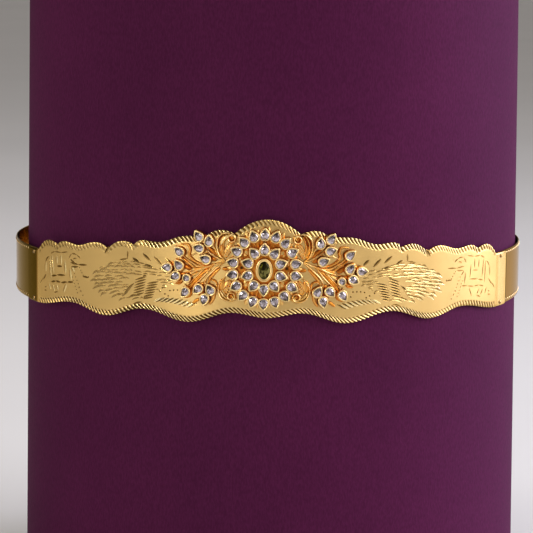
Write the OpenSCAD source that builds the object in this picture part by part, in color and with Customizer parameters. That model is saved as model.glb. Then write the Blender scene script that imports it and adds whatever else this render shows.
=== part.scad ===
/* [Belt] */
// Radius of the loop, to the outer face of its straps
loop_r = 120; // [110:1:130]
// Thickness of the gold sheet
sheet = 0.8; // [0.6:0.1:1]
// Height of a strap
strap_h = 24.5; // [22:0.5:28]
// Height of the straps' lower edge above the ground
strap_z = 141.9; // [120:1:160]
// Length of a strap that lies behind the front plate's tab
lap = 15; // [12:0.5:18]
// Radial gap between two sheets that lie on each other
sheet_gap = 0.1; // [0.1:0.05:0.2]
// Gap between the two strap ends at the back
end_gap = 0.6; // [0.4:0.1:2]

/* [Front plate] */
// Half length of the scalloped stretch, along its curve
scallop_half = 125; // [120:1:128]
// Length of the plain tab past the scallops
tab_l = 12.5; // [10:0.5:14]
// Slanted corner at the end of a tab
tab_corner = 1.5; // [0.5:0.5:3]
// Height of the middle scallop above the straps' upper edge
crown_rise = 21.6; // [19:0.2:24]
// Height of the lower edge's waves above the straps' lower edge
wave_rise = 5.2; // [4:0.2:6]

/* [Rivets] */
// Diameter of a rivet's shank
rivet_d = 1; // [0.8:0.1:1.2]
// Diameter of a rivet's domed head
rivet_head_d = 2; // [1.7:0.1:2.4]
// Height of a rivet's domed head
rivet_head_h = 0.6; // [0.4:0.1:0.8]
// Distance of a rivet from the strap's edge
rivet_inset = 1.6; // [1.5:0.1:2]
// Distance of the rivets from the end of the tab
rivet_back = 7.5; // [5:0.5:9]
// Clearance around a rivet's shank
rivet_gap = 0.05; // [0.05:0.01:0.1]

/* [Back clasp] */
// Length of the clasp around the loop
clasp_l = 18; // [12:1:30]
// Wall of the clasp's sleeve
clasp_wall = 0.8; // [0.6:0.1:1.2]
// Clearance between the sleeve and the straps in it
clasp_gap = 0.15; // [0.1:0.05:0.3]

/* [Flower] */
// Number of stones in the outer ring
outer_count = 18; // [16:1:19]
// Width of the ellipse on which the outer ring's stones sit
outer_ring_w = 28.1; // [27:0.1:30]
// Height of the ellipse on which the outer ring's stones sit
outer_ring_h = 30.3; // [29:0.1:32]
// Number of stones in the inner ring
inner_count = 10; // [9:1:10]
// Width of the ellipse on which the inner ring's stones sit
inner_ring_w = 15.2; // [14.6:0.1:16]
// Height of the ellipse on which the inner ring's stones sit
inner_ring_h = 17.6; // [17.2:0.1:18.4]
// Width of the gap pierced through the flower on each side
pierced_d = 1.3; // [1:0.1:1.6]
// Sideways place of the ornament on the front plate
ornament_shift = -1.4; // [-3:0.1:3]
// Turn of the ornament on the front plate, in degrees
ornament_turn = 0.7; // [0:0.1:1.5]

/* [Sprays] */
// Distance of the outermost stone from the ornament's middle
spray_reach = 43.4; // [42:0.2:46]
// Distance of the lowest stone below the ornament's middle
spray_rise = 14.2; // [13.6:0.1:14.8]
// Width of a vine
vine_w = 1.3; // [1:0.1:1.6]
// Thickness of the vines and leaves
vine_t = 1.3; // [1:0.1:1.6]

/* [Stones] */
// Width of a drop-shaped stone in the flower
drop_w = 3.8; // [3.5:0.1:4]
// Length of a drop-shaped stone in the flower
drop_l = 4.6; // [4.3:0.1:4.9]
// Width of a drop-shaped stone in the sprays
spray_drop_w = 3.4; // [3:0.1:3.6]
// Length of a drop-shaped stone in the sprays
spray_drop_l = 4.4; // [4:0.1:4.6]
// Diameter of the small round stone in each spray
round_d = 2.9; // [2.5:0.1:3.2]
// Width of the green middle stone
middle_w = 5.1; // [4.8:0.1:5.4]
// Length of the green middle stone
middle_l = 7.9; // [7.5:0.1:8.2]
// Clearance between a stone and its setting
stone_gap = 0.1; // [0.08:0.01:0.15]
// Wall of a small stone's setting
bezel_wall = 0.45; // [0.35:0.05:0.5]
// Wall of the middle stone's setting
middle_wall = 1; // [0.8:0.1:1.2]
// Height by which the flower's inner tier stands above its outer ring
tier_rise = 0.9; // [0.6:0.1:1.2]
// Height by which the middle stone stands above the inner tier
middle_rise = 1; // [0.6:0.1:1.4]

/* [Display drum] */
// Height of the drum
drum_h = 300; // [280:5:340]
// Radial slack between the loop's inner face and the drum
drum_slack = 3; // [1:0.5:6]
// Amount by which the drum's foot is wider in radius than its top
drum_taper = 2.5; // [0:0.5:5]
// Gap that is left where the loop leans on the drum
touch_gap = 0.2; // [0.1:0.05:0.4]
// Direction in which the drum stands off the loop's middle, in degrees from the right towards the front
lean_angle = 45; // [0:5:90]
// Slant around the drum's two rims
rim = 1.2; // [0.5:0.1:2]

/* [Hidden] */
$fn = 72;
loop_sides = 360;
outer_names = [for (i = [1:outer_count]) str("outer_stone_", i)];
inner_names = [for (i = [1:inner_count]) str("inner_stone_", i)];

gold = [0.85, 0.68, 0.36];
dark_gold = [0.72, 0.48, 0.2];
purple = [0.3, 0.13, 0.24];
clear_stone = [0.85, 0.84, 0.9];
green_stone = [0.12, 0.25, 0.1];

strap_top = strap_z + strap_h;
plate_in = loop_r + sheet_gap;
plate_out = plate_in + sheet;
plate_half = scallop_half + tab_l;
full_turn = 360;
spare = 5;

// Levels of the ornament, as radii of the loop
foot_r = plate_out + 0.15;
base_t = 0.6;
base_r = foot_r + base_t;
seat_lift = 0.1;
seat_r = base_r + seat_lift;
culet_gap = 0.15;
pavilion_share = 0.34;
lip_rise = 0.25;
crown_share = 0.16;
girdle_t = 0.15;

// Places on the ornament are measured along the curve at the small stones' faces
face_r = seat_r + culet_gap + pavilion_share * drop_w;

// Edges of the plate: place along the scalloped stretch, height and kind of each turning point, as shares
ALONG = 0;
HEIGHT = 1;
KIND = 2;
upper_edge = [
    [0.000, 1.000, "round"],
    [0.114, 0.708, "cusp"],
    [0.165, 0.769, "round"],
    [0.212, 0.657, "cusp"],
    [0.284, 0.625, "round"],
    [0.400, 0.463, "round"],
    [0.456, 0.486, "round"],
    [0.488, 0.375, "cusp"],
    [0.532, 0.435, "round"],
    [0.600, 0.245, "cusp"],
    [0.656, 0.352, "round"],
    [0.752, 0.245, "round"],
    [0.820, 0.282, "round"],
    [0.868, 0.181, "cusp"],
    [0.922, 0.245, "round"],
    [1.000, 0.000, "cusp"]];
lower_edge = [
    [0.000, 0.615, "round"],
    [0.120, 1.000, "round"],
    [0.280, 0.077, "round"],
    [0.448, 0.923, "round"],
    [0.616, 0.000, "round"],
    [0.776, 0.692, "round"],
    [1.000, 0.000, "round"]];
edge_steps = 7;

// Stones of a spray: place from the ornament's middle as shares of the reach and rise, direction of the tip, form
ACROSS = 0;
UP = 1;
TIP = 2;
FORM = 3;
spray_rows = [
    [0.669,  0.947,  55, "drop"],
    [0.560,  0.820,  90, "drop"],
    [0.667,  0.577,  15, "drop"],
    [0.597,  0.254,  20, "drop"],
    [0.871,  0.444,  40, "drop"],
    [0.873,  0.032,  50, "drop"],
    [1.000, -0.070,   0, "drop"],
    [0.910, -0.331, -30, "drop"],
    [0.786, -0.366,   0, "round"],
    [0.802, -0.810, -55, "drop"],
    [0.668, -0.687, -45, "drop"],
    [0.541, -0.676,  60, "drop"],
    [0.599, -0.993, -80, "drop"]];

// Vines and leaves of a spray: width as a share of a vine's, then points as shares of the reach and rise
vines = [
    [1.0, [[0.40, 0.11], [0.50, 0.04], [0.58, -0.05], [0.67, -0.15], [0.77, -0.17], [0.89, -0.27]]],
    [1.0, [[0.41, 0.07], [0.52, -0.01], [0.60, -0.15], [0.67, -0.32], [0.72, -0.51], [0.78, -0.76]]],
    [1.0, [[0.42, 0.03], [0.50, -0.08], [0.55, -0.23], [0.57, -0.42], [0.56, -0.62]]],
    [1.0, [[0.41, 0.14], [0.47, 0.28], [0.53, 0.42], [0.58, 0.54], [0.65, 0.59]]],
    [1.0, [[0.42, 0.16], [0.46, 0.34], [0.50, 0.50], [0.55, 0.74]]],
    [1.1, [[0.46, 0.26], [0.51, 0.08], [0.58, 0.03], [0.67, 0.07], [0.73, 0.17], [0.78, 0.36]]],
    [1.1, [[0.62, -0.07], [0.74, 0.05], [0.81, 0.19], [0.87, 0.36]]],
    [1.3, [[0.86, 0.64], [0.80, 0.63], [0.77, 0.52], [0.77, 0.38], [0.83, 0.22]]],
    [1.1, [[0.87, -0.38], [0.86, -0.54], [0.90, -0.59], [0.94, -0.54]]],
    [1.3, [[0.51, -0.46], [0.48, -0.57], [0.48, -0.72], [0.50, -0.86], [0.52, -1.02], [0.57, -1.16]]],
    [1.2, [[0.63, -0.78], [0.68, -0.97], [0.74, -1.13]]],
    [1.1, [[0.68, -0.76], [0.75, -0.91], [0.82, -0.93]]],
    [0.9, [[0.60, 0.20], [0.59, 0.00]]],
    [0.9, [[0.66, 0.60], [0.67, 0.90]]],
    [0.9, [[0.79, -0.33], [0.80, -0.17]]],
    [0.9, [[0.92, -0.28], [0.98, -0.10]]],
    [0.9, [[0.87, 0.00], [0.88, -0.25]]],
    [0.9, [[0.56, -0.72], [0.58, -0.92]]]];
vine_steps = 4;

// Crescents beside the flower: middle as shares of the reach and rise, radius as a share of the rise,
// first and last direction, and middle of the curl as shares
MIDDLE = 0;
RADIUS = 1;
FIRST = 2;
LAST = 3;
CURL = 4;
crescents = [
    [[0.336, 0.63], 0.437, 100, -62, [0.332, 0.91]],
    [[0.339, -0.65], 0.352, 74, -106, [0.320, -0.87]]];
crescent_w = 1.5;
curl_r = 2.2;
curl_hole_r = 1.2;
crescent_rise = 1.3;

function degrees_at(length, r) = length / r * 180 / PI;
function mix(a, b, t) = a + (b - a) * t;

// Height share part way between two rows of an edge table: a parabola from a round row to a cusp,
// and half a wave between two round rows
function edge_share(a, b, t) =
    a[KIND] == "round" && b[KIND] == "round" ? mix(a[HEIGHT], b[HEIGHT], (1 - cos(180 * t)) / 2)
    : a[KIND] == "round" ? mix(a[HEIGHT], b[HEIGHT], t * t)
    : mix(a[HEIGHT], b[HEIGHT], 1 - (1 - t) * (1 - t));

// Points of one edge from the middle to the end of the scallops, as [length along the curve, height]
function edge_points(table, low, rise) = concat(
    [for (i = [0:len(table) - 2], k = [0:edge_steps - 1])
        [scallop_half * mix(table[i][ALONG], table[i + 1][ALONG], k / edge_steps),
         low + rise * edge_share(table[i], table[i + 1], k / edge_steps)]],
    [[scallop_half, low]]);

// A point on the curved face, seen straight from the front
function seen(p, r) = [r * sin(degrees_at(p[0], r)), p[1]];

function reversed(list) = [for (i = [len(list) - 1:-1:0]) list[i]];
function mirrored(list) = [for (p = list) [-p[0], p[1]]];

upper_points = edge_points(upper_edge, strap_top, crown_rise);
lower_points = edge_points(lower_edge, strap_z, wave_rise);
ornament_z = (upper_points[0][1] + lower_points[0][1]) / 2;

// The plate's right half, from the middle of the upper edge round to the middle of the lower one
plate_right = concat(
    upper_points,
    [[plate_half - tab_corner, strap_top], [plate_half, strap_top - tab_corner]],
    [[plate_half, strap_z + tab_corner], [plate_half - tab_corner, strap_z]],
    reversed(lower_points));

// Angle round the loop of a length along the ornament's face
function angle_of(u) = degrees_at(u, face_r);

// Outline of a stone, from its top round to the right: a drop with its tip up, or an oval
drop_point = 0.8;
drop_belly = 0.803;
function outline(w, l, n, drop) = [
    for (i = [0:n - 1]) let (t = full_turn * i / n)
        [w / 2 * sin(t) * (drop ? pow(sin(t / 2), drop_point) / drop_belly : 1), l / 2 * cos(t)]];

bezel_sides = 24;
tip_growth = 1.15;
girdle_sides = 16;
table_sides = girdle_sides / 2;
table_share = 0.56;
keel_share = 0.55;

// A sheet wrapped round the loop between two radii and two heights, drawn as it is seen from the angle at
module wrap(at, inner, outer, low, high) {
    rotate([0, 0, at]) intersection() {
        translate([0, 0, low]) difference() {
            cylinder(r = outer, h = high - low, $fn = loop_sides);
            translate([0, 0, -1]) cylinder(r = inner, h = high - low + 2, $fn = loop_sides);
        }
        rotate([90, 0, 0]) linear_extrude(height = outer + spare) children();
    }
}

// Puts the ornament on the plate, a little to one side and slightly turned
module on_plate() {
    rotate([0, 0, angle_of(ornament_shift)]) translate([0, 0, ornament_z]) rotate([0, ornament_turn, 0]) children();
}

// A flat frame on the loop's face, with its third axis outwards
module place(at, z, r) {
    rotate([0, 0, at]) translate([0, -r, z]) rotate([90, 0, 0]) children();
}

module cut_stone(w, l, drop) {
    n = girdle_sides;
    m = table_sides;
    round_shape = outline(w, l, n, drop);
    crown = crown_share * w + girdle_t;
    pavilion = pavilion_share * w;
    table = [for (k = [0:m - 1]) [for (c = round_shape[2 * k]) table_share * c]];
    keel = [for (k = [0:m - 1]) [for (c = round_shape[2 * k + 1]) keel_share * c]];
    points = concat(
        [for (p = table) [p[0], p[1], crown]],
        [for (p = round_shape) [p[0], p[1], girdle_t]],
        [for (p = round_shape) [p[0], p[1], 0]],
        [for (p = keel) [p[0], p[1], -pavilion * 0.6]],
        [[0, drop ? -0.08 * l : 0, -pavilion]]);
    upper = m;
    lower = m + n;
    deep = m + 2 * n;
    culet = deep + m;
    faces = concat(
        [[for (k = [0:m - 1]) k]],
        [for (k = [0:m - 1]) [(k + 1) % m, k, upper + 2 * k + 1]],
        [for (k = [0:m - 1]) [k, upper + 2 * k, upper + 2 * k + 1]],
        [for (k = [0:m - 1]) [(k + 1) % m, upper + 2 * k + 1, upper + (2 * k + 2) % n]],
        [for (i = [0:n - 1]) [upper + (i + 1) % n, upper + i, lower + i, lower + (i + 1) % n]],
        [for (k = [0:m - 1]) [lower + 2 * k + 1, lower + 2 * k, deep + k]],
        [for (k = [0:m - 1]) [lower + (2 * k + 2) % n, lower + 2 * k + 1, deep + k]],
        [for (k = [0:m - 1]) [lower + (2 * k + 2) % n, deep + k, deep + (k + 1) % m]],
        [for (k = [0:m - 1]) [deep + (k + 1) % m, deep + k, culet]]);
    polyhedron(points, faces);
}

// Height of a stone's girdle above the floor of its setting
function girdle_lift(w) = culet_gap + pavilion_share * w;

// A solid block of a stone's outline, grown all round
module grown(w, l, drop, by, low, high) {
    tip_by = drop ? tip_growth * by : by;
    translate([0, 0, low]) linear_extrude(height = high - low)
        polygon(outline(w + 2 * by, l + 2 * tip_by, bezel_sides, drop));
}

// A setting for one stone, in the frame of the stone, with its floor at height 0
module bezel(w, l, drop, wall, foot) {
    lip = girdle_lift(w) + lip_rise;
    difference() {
        grown(w, l, drop, stone_gap + wall, foot, lip);
        grown(w, l, drop, stone_gap, 0, lip + 1);
    }
}

// Angle round a ring's ellipse at which stone i of n sits, from the top clockwise
function ring_point(i, n, w, h) = [w / 2 * sin(full_turn * i / n), h / 2 * cos(full_turn * i / n)];

// Direction of a stone's tip in a ring, square to the ellipse
function ring_tip(p, w, h) = atan2(p[1] / (h * h), p[0] / (w * w)) - 90;

module at_ring(i, n, w, h, r) {
    p = ring_point(i, n, w, h);
    place(angle_of(p[0]), p[1], r) rotate([0, 0, ring_tip(p, w, h)]) children();
}

module at_outer(i) {
    at_ring(i, outer_count, outer_ring_w, outer_ring_h, seat_r) children();
}

module at_inner(i) {
    at_ring(i, inner_count, inner_ring_w, inner_ring_h, seat_r + tier_rise) children();
}

middle_seat_r = seat_r + tier_rise + middle_rise
    - (pavilion_share * middle_w - pavilion_share * drop_w);

module at_spray(row) {
    place(angle_of(row[ACROSS] * spray_reach), row[UP] * spray_rise, seat_r) rotate([0, 0, row[TIP] - 90]) children();
}

module spray_form(row, by, low, high) {
    if (row[FORM] == "drop") grown(spray_drop_w, spray_drop_l, true, by, low, high);
    else grown(round_d, round_d, false, by, low, high);
}

// Points of the ellipse with the given width and height
function ellipse(w, h, n) = [for (i = [0:n - 1]) [w / 2 * cos(full_turn * i / n), h / 2 * sin(full_turn * i / n)]];

// A closed line of the ornament, seen from the angle at
function ornament_line(points, at) = [for (p = points) [face_r * sin(angle_of(p[0]) - at), p[1]]];

// A sheet of the ornament, wrapped round the loop
module wrap_ornament(at, inner, outer) {
    wrap(at, inner, outer, -outer_ring_h, outer_ring_h) children();
}

base_margin = 1.2;
tier_w = inner_ring_w + drop_l + base_margin;
tier_h = inner_ring_h + drop_l + base_margin;
base_w = outer_ring_w + base_margin;
base_h = outer_ring_h + base_margin;
ellipse_sides = 60;
pierced_in = 0.6;
pierced_lift = 0.4;
pierced_at = [tier_w / 2 - pierced_in, pierced_lift];

module flower_setting() {
    color(gold) on_plate() difference() {
        union() {
            wrap_ornament(0, foot_r, base_r) polygon(ornament_line(ellipse(base_w, base_h, ellipse_sides), 0));
            wrap_ornament(0, foot_r + base_t / 2, base_r + tier_rise)
                polygon(ornament_line(ellipse(tier_w, tier_h, ellipse_sides), 0));
            for (i = [0:outer_count - 1])
                at_outer(i) bezel(drop_w, drop_l, true, bezel_wall, seat_lift - base_t);
            for (i = [0:inner_count - 1])
                at_inner(i) bezel(drop_w, drop_l, true, bezel_wall, -base_t);
            place(0, 0, middle_seat_r) bezel(middle_w, middle_l, false, middle_wall, -middle_rise);
        }
        for (side = [-1, 1]) place(angle_of(side * pierced_at[0]), pierced_at[1], foot_r - spare)
            cylinder(d = pierced_d, h = 2 * spare);
    }
}

// Smooth curve through points: a cubic through each four neighbours
function smooth_at(p, i, t) = let (
        n = len(p) - 1,
        a = p[max(i - 1, 0)], b = p[i], c = p[min(i + 1, n)], d = p[min(i + 2, n)])
    0.5 * (2 * b + (c - a) * t + (2 * a - 5 * b + 4 * c - d) * t * t + (3 * b - a - 3 * c + d) * t * t * t);
function smooth_line(p) = concat(
    [for (i = [0:len(p) - 2], k = [0:vine_steps - 1]) smooth_at(p, i, k / vine_steps)],
    [p[len(p) - 1]]);

// Outline of a stroke along a line, full in its middle and narrower towards its two ends
stroke_end = 0.55;
function stroke(p, w) = let (
        n = len(p) - 1,
        along = [for (i = [0:n]) let (q = p[min(i + 1, n)] - p[max(i - 1, 0)]) q / norm(q)],
        half = [for (i = [0:n]) w / 2 * mix(stroke_end, 1, sin(180 * i / n))])
    concat(
        [for (i = [0:n]) p[i] + half[i] * [-along[i][1], along[i][0]]],
        [for (i = [n:-1:0]) p[i] - half[i] * [-along[i][1], along[i][0]]]);

function scaled_points(shares) = [for (q = shares) [q[0] * spray_reach, q[1] * spray_rise]];

function arc_line(middle, r, first, last, n) = [
    for (i = [0:n]) let (a = mix(first, last, i / n)) middle + r * [cos(a), sin(a)]];

arc_steps = 16;
spray_at = angle_of(0.7 * spray_reach);

module vine_shapes() {
    for (v = vines)
        polygon(ornament_line(stroke(smooth_line(scaled_points(v[1])), v[0] * vine_w), spray_at));
}

module crescent_shapes() {
    for (c = crescents) {
        middle = scaled_points([c[MIDDLE]])[0];
        line = arc_line(middle, c[RADIUS] * spray_rise, c[FIRST], c[LAST], arc_steps);
        polygon(ornament_line(stroke(line, crescent_w), spray_at));
    }
}

// Curled end of a crescent, a round disc with a dimple
module curls() {
    for (c = crescents) {
        p = scaled_points([c[CURL]])[0];
        place(angle_of(p[0]), p[1], foot_r) difference() {
            cylinder(r = curl_r, h = 2 * vine_t);
            translate([0, 0, vine_t]) cylinder(r = curl_hole_r, h = 2 * vine_t);
        }
    }
}

// Room that the flower takes, with a clearance all round
module flower_room() {
    wrap_ornament(0, foot_r - 1, base_r + spare) polygon(ornament_line(
        ellipse(base_w + 2 * stone_gap, base_h + 2 * stone_gap, ellipse_sides), 0));
    for (i = [0:outer_count - 1])
        at_outer(i) grown(drop_w, drop_l, true, 2 * stone_gap + bezel_wall, -spare, spare);
}

// The right spray, in the ornament's own frame
module spray_setting() {
    difference() {
        union() {
            wrap_ornament(spray_at, foot_r, foot_r + vine_t) vine_shapes();
            wrap_ornament(spray_at, foot_r, foot_r + crescent_rise * vine_t) crescent_shapes();
            curls();
            for (row = spray_rows)
                at_spray(row) spray_form(row, stone_gap + bezel_wall, seat_lift - base_t,
                    girdle_lift(row[FORM] == "drop" ? spray_drop_w : round_d) + lip_rise);
        }
        for (row = spray_rows) at_spray(row) spray_form(row, stone_gap, 0, spare);
        flower_room();
    }
}

module spray_stones() {
    for (row = spray_rows) {
        w = row[FORM] == "drop" ? spray_drop_w : round_d;
        l = row[FORM] == "drop" ? spray_drop_l : round_d;
        at_spray(row) translate([0, 0, girdle_lift(w)]) cut_stone(w, l, row[FORM] == "drop");
    }
}

module right_spray_setting() color(gold) on_plate() spray_setting();
module left_spray_setting() color(gold) on_plate() mirror([1, 0, 0]) spray_setting();
module right_spray_stones() color(clear_stone) on_plate() spray_stones();
module left_spray_stones() color(clear_stone) on_plate() mirror([1, 0, 0]) spray_stones();

module flower_stone() {
    color(clear_stone) translate([0, 0, girdle_lift(drop_w)]) cut_stone(drop_w, drop_l, true);
}

module outer_stone(i) on_plate() at_outer(i) flower_stone();
module inner_stone(i) on_plate() at_inner(i) flower_stone();

module centre_stone() {
    color(green_stone) on_plate() place(0, 0, middle_seat_r) translate([0, 0, girdle_lift(middle_w)])
        cut_stone(middle_w, middle_l, false);
}

// The rivets stand square to the sheet, one near each edge of a tab
rivet_at = degrees_at(plate_half - rivet_back, plate_out);
rivet_heights = [strap_z + rivet_inset, strap_top - rivet_inset];

module at_rivet(side, z, r) {
    place(side * rivet_at, z, r) children();
}

module rivet_holes(side) {
    for (z = rivet_heights) at_rivet(side, z, loop_r - spare) cylinder(d = rivet_d + 2 * rivet_gap, h = 2 * spare);
}

module rivet(side, z) {
    cap_r = (rivet_head_d * rivet_head_d / 4 + rivet_head_h * rivet_head_h) / (2 * rivet_head_h);
    lift = plate_out + rivet_gap;
    color(dark_gold) union() {
        at_rivet(side, z, loop_r - sheet) cylinder(d = rivet_d, h = lift - loop_r + sheet + rivet_head_h / 2);
        at_rivet(side, z, lift) intersection() {
            translate([0, 0, rivet_head_h - cap_r]) sphere(r = cap_r);
            cylinder(r = rivet_head_d, h = rivet_head_h + 1);
        }
    }
}

module front_plate() {
    line = [for (p = concat(plate_right, reversed(mirrored(plate_right)))) seen(p, plate_out)];
    color(gold) difference() {
        wrap(0, plate_in, plate_out, strap_z - spare, strap_top + crown_rise + spare) polygon(line);
        for (side = [-1, 1]) rivet_holes(side);
    }
}

// A strap, from behind the plate's tab round to the middle of the back
module strap(side) {
    first = degrees_at(plate_half - lap, loop_r);
    last = 180 - degrees_at(end_gap / 2, loop_r);
    color(gold) difference() {
        rotate([0, 0, -90 + (side > 0 ? first : -last)]) rotate_extrude(angle = last - first, $fn = loop_sides)
            translate([loop_r - sheet, strap_z]) square([sheet, strap_h]);
        rivet_holes(side);
    }
}

module back_clasp() {
    span = degrees_at(clasp_l, loop_r);
    around = clasp_gap + clasp_wall;
    color(dark_gold) rotate([0, 0, 90 - span / 2]) rotate_extrude(angle = span, $fn = loop_sides) difference() {
        translate([loop_r - sheet - around, strap_z - around]) square([sheet + 2 * around, strap_h + 2 * around]);
        translate([loop_r - sheet - clasp_gap, strap_z - clasp_gap])
            square([sheet + 2 * clasp_gap, strap_h + 2 * clasp_gap]);
    }
}

module display_drum() {
    r = loop_r - sheet - drum_slack;
    foot = r + drum_taper * strap_z / drum_h;
    top = foot - drum_taper;
    off = drum_slack - touch_gap;
    color(purple) translate([off * cos(lean_angle), -off * sin(lean_angle), 0]) rotate_extrude($fn = loop_sides)
        polygon([[0, 0], [foot - rim, 0], [foot, rim], [top, drum_h - rim], [top - rim, drum_h], [0, drum_h]]);
}

display_drum();
front_plate();
strap(-1);  // left_strap
strap(1);  // right_strap
back_clasp();
rivet(-1, rivet_heights[1]);  // left_upper_rivet
rivet(-1, rivet_heights[0]);  // left_lower_rivet
rivet(1, rivet_heights[1]);  // right_upper_rivet
rivet(1, rivet_heights[0]);  // right_lower_rivet
flower_setting();
left_spray_setting();
right_spray_setting();
centre_stone();
left_spray_stones();
right_spray_stones();
for (i = [0:inner_count - 1]) inner_stone(i);
for (i = [0:outer_count - 1]) outer_stone(i);
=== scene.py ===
"""Looks of an oddiyanam waist belt on its display drum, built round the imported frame.

Lengths in this file are millimetres and angles are degrees, unless a name says otherwise. Meshes are
written in metres. A place on the belt is given by its length along the curve, positive towards the
right, and its height above the ground.
"""

import logging
import math
from dataclasses import dataclass, field
from enum import Enum

import bmesh
import bpy
import numpy as np
from mathutils import Matrix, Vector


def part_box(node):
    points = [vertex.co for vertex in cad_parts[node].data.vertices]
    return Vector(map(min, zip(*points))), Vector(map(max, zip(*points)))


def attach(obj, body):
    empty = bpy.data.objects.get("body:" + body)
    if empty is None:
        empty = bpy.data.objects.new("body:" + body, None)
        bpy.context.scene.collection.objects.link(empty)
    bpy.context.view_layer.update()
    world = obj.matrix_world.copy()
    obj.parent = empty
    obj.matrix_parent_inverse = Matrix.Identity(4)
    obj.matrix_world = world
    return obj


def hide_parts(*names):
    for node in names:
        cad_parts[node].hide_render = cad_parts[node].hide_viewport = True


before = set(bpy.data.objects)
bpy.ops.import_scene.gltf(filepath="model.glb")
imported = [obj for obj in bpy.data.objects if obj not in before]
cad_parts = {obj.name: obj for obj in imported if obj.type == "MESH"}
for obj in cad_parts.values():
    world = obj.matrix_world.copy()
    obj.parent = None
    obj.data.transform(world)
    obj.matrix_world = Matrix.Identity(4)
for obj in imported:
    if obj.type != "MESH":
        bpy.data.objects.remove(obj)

Colour = tuple[float, float, float]
Point = tuple[float, float, float]
Path = tuple[tuple[float, float], ...]
Socket = bpy.types.NodeSocket
Material = bpy.types.Material
Piece = bpy.types.Object

MM = 0.001
FULL_TURN = 2 * math.pi
ROOT = "root"
SHEET_T = 0.8
DOUBLES = 1e-6

# Values kept at the points or facets of a mesh, which the finishes read
RELIEF_AND_PAINTED_LIGHT = "relief"
POLISH = "polish"
FACET_REFLECTION = "tone"

# Relief of a plain face, where 0 is the deepest recess and 1 a pale lip. Low relief darkens the gold, partly as an
# antique darkening of its hollows and partly as painted shade; high relief pales it, partly as wear and partly as
# painted highlight
FACE = 0.8

# Range that holds most of a noise pattern's values
MIDDLE_NOISE = (0.3, 0.7)

log = logging.getLogger("belt")


class Slot(Enum):
    """Material slots of the record."""

    GOLD_SHEET = "gold_sheet"
    GOLD_STRAP = "gold_strap"
    GOLD_CASTING = "gold_casting"
    CLEAR_STONE = "clear_stone"
    GREEN_STONE = "green_stone"
    DRUM_PAPER = "drum_paper"


class Side(Enum):
    """The two sides of the belt, as the sign of the length along it."""

    LEFT = -1
    RIGHT = 1


class StoneForm(Enum):
    """Outlines of the stones."""

    DROP = "drop"
    OVAL = "oval"


def smoothstep(low: float, high: float, value: np.ndarray) -> np.ndarray:
    """Smooth step from 0 at low to 1 at high: 3t squared minus 2t cubed."""
    t = np.clip((value - low) / (high - low), 0, 1)
    return t * t * (3 - 2 * t)


def eased(step: Point, value: np.ndarray) -> np.ndarray:
    """A size times a smooth step: the size comes first, then where the step starts and ends."""
    return step[0] * smoothstep(step[1], step[2], value)


def turn_z(degrees: float) -> np.ndarray:
    """Matrix of a turn about the third axis."""
    c, s = math.cos(math.radians(degrees)), math.sin(math.radians(degrees))
    return np.array([[c, -s, 0, 0], [s, c, 0, 0], [0, 0, 1, 0], [0, 0, 0, 1]], float)


def turn_y(degrees: float) -> np.ndarray:
    """Matrix of a turn about the second axis."""
    c, s = math.cos(math.radians(degrees)), math.sin(math.radians(degrees))
    return np.array([[c, 0, s, 0], [0, 1, 0, 0], [-s, 0, c, 0], [0, 0, 0, 1]], float)


def shift(x: float, y: float, z: float) -> np.ndarray:
    """Matrix of a shift."""
    return np.array([[1, 0, 0, x], [0, 1, 0, y], [0, 0, 1, z], [0, 0, 0, 1]], float)


def placed(matrix: np.ndarray, points: np.ndarray) -> np.ndarray:
    """Points of any array shape, moved by a matrix."""
    return points @ matrix[:3, :3].T + matrix[:3, 3]


def ring_angles(count: int) -> np.ndarray:
    """Angles of so many even steps round a full turn."""
    return np.arange(count) * FULL_TURN / count


def at_height(outline: np.ndarray, height: float) -> np.ndarray:
    """Points of a flat outline, all at one height."""
    return np.concatenate([outline, np.full((len(outline), 1), height)], axis=-1)


def on_ellipse(width: float, height: float, turn: float) -> np.ndarray:
    """Place on an ellipse at an angle from its top: x = w/2 sin t and y = h/2 cos t."""
    return np.array([width / 2 * math.sin(turn), height / 2 * math.cos(turn)])


def tapered(count: int, margin: float, power: float) -> np.ndarray:
    """Shares of a leaf's width along it: sin(a) to a power, where a runs from the margin to pi less the margin."""
    return np.sin(np.linspace(margin, math.pi - margin, count)) ** power


def dome(radius: float, rise: tuple[float, ...], count: int) -> tuple[np.ndarray, np.ndarray, np.ndarray]:
    """Rings of a dome round its middle: r sin(a) times cos and sin of the angle round it, and cos(a) as its height.

    Args:
        radius: Radius of the dome in plan.
        rise: Angle a of each ring from the top.
        count: Points in a ring.

    Returns:
        The two flat coordinates, and the height as a share of the dome's.
    """
    a, around = np.radians(np.array(rise))[:, None], ring_angles(count)[None, :]
    return radius * np.sin(a) * np.cos(around), radius * np.sin(a) * np.sin(around), np.cos(a) + 0 * around


def put(name: str, data: bpy.types.ID) -> Piece:
    """Makes an object of a mesh, lamp or camera and puts it in the scene.

    Args:
        name: Name of the object.
        data: What it shows.

    Returns:
        The new object at the origin.
    """
    made = bpy.data.objects.new(name, data)
    bpy.context.scene.collection.objects.link(made)
    return made


def face_outwards(mesh: bpy.types.Mesh, merge: float = 0.0) -> None:
    """Turns a closed mesh's faces outwards.

    Args:
        mesh: The mesh.
        merge: Distance in metres within which doubles are merged first, or 0 to keep every point.
    """
    work = bmesh.new()
    work.from_mesh(mesh)
    if merge:
        bmesh.ops.remove_doubles(work, verts=work.verts, dist=merge)
    bmesh.ops.recalc_face_normals(work, faces=work.faces)
    work.to_mesh(mesh)
    work.free()


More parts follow.
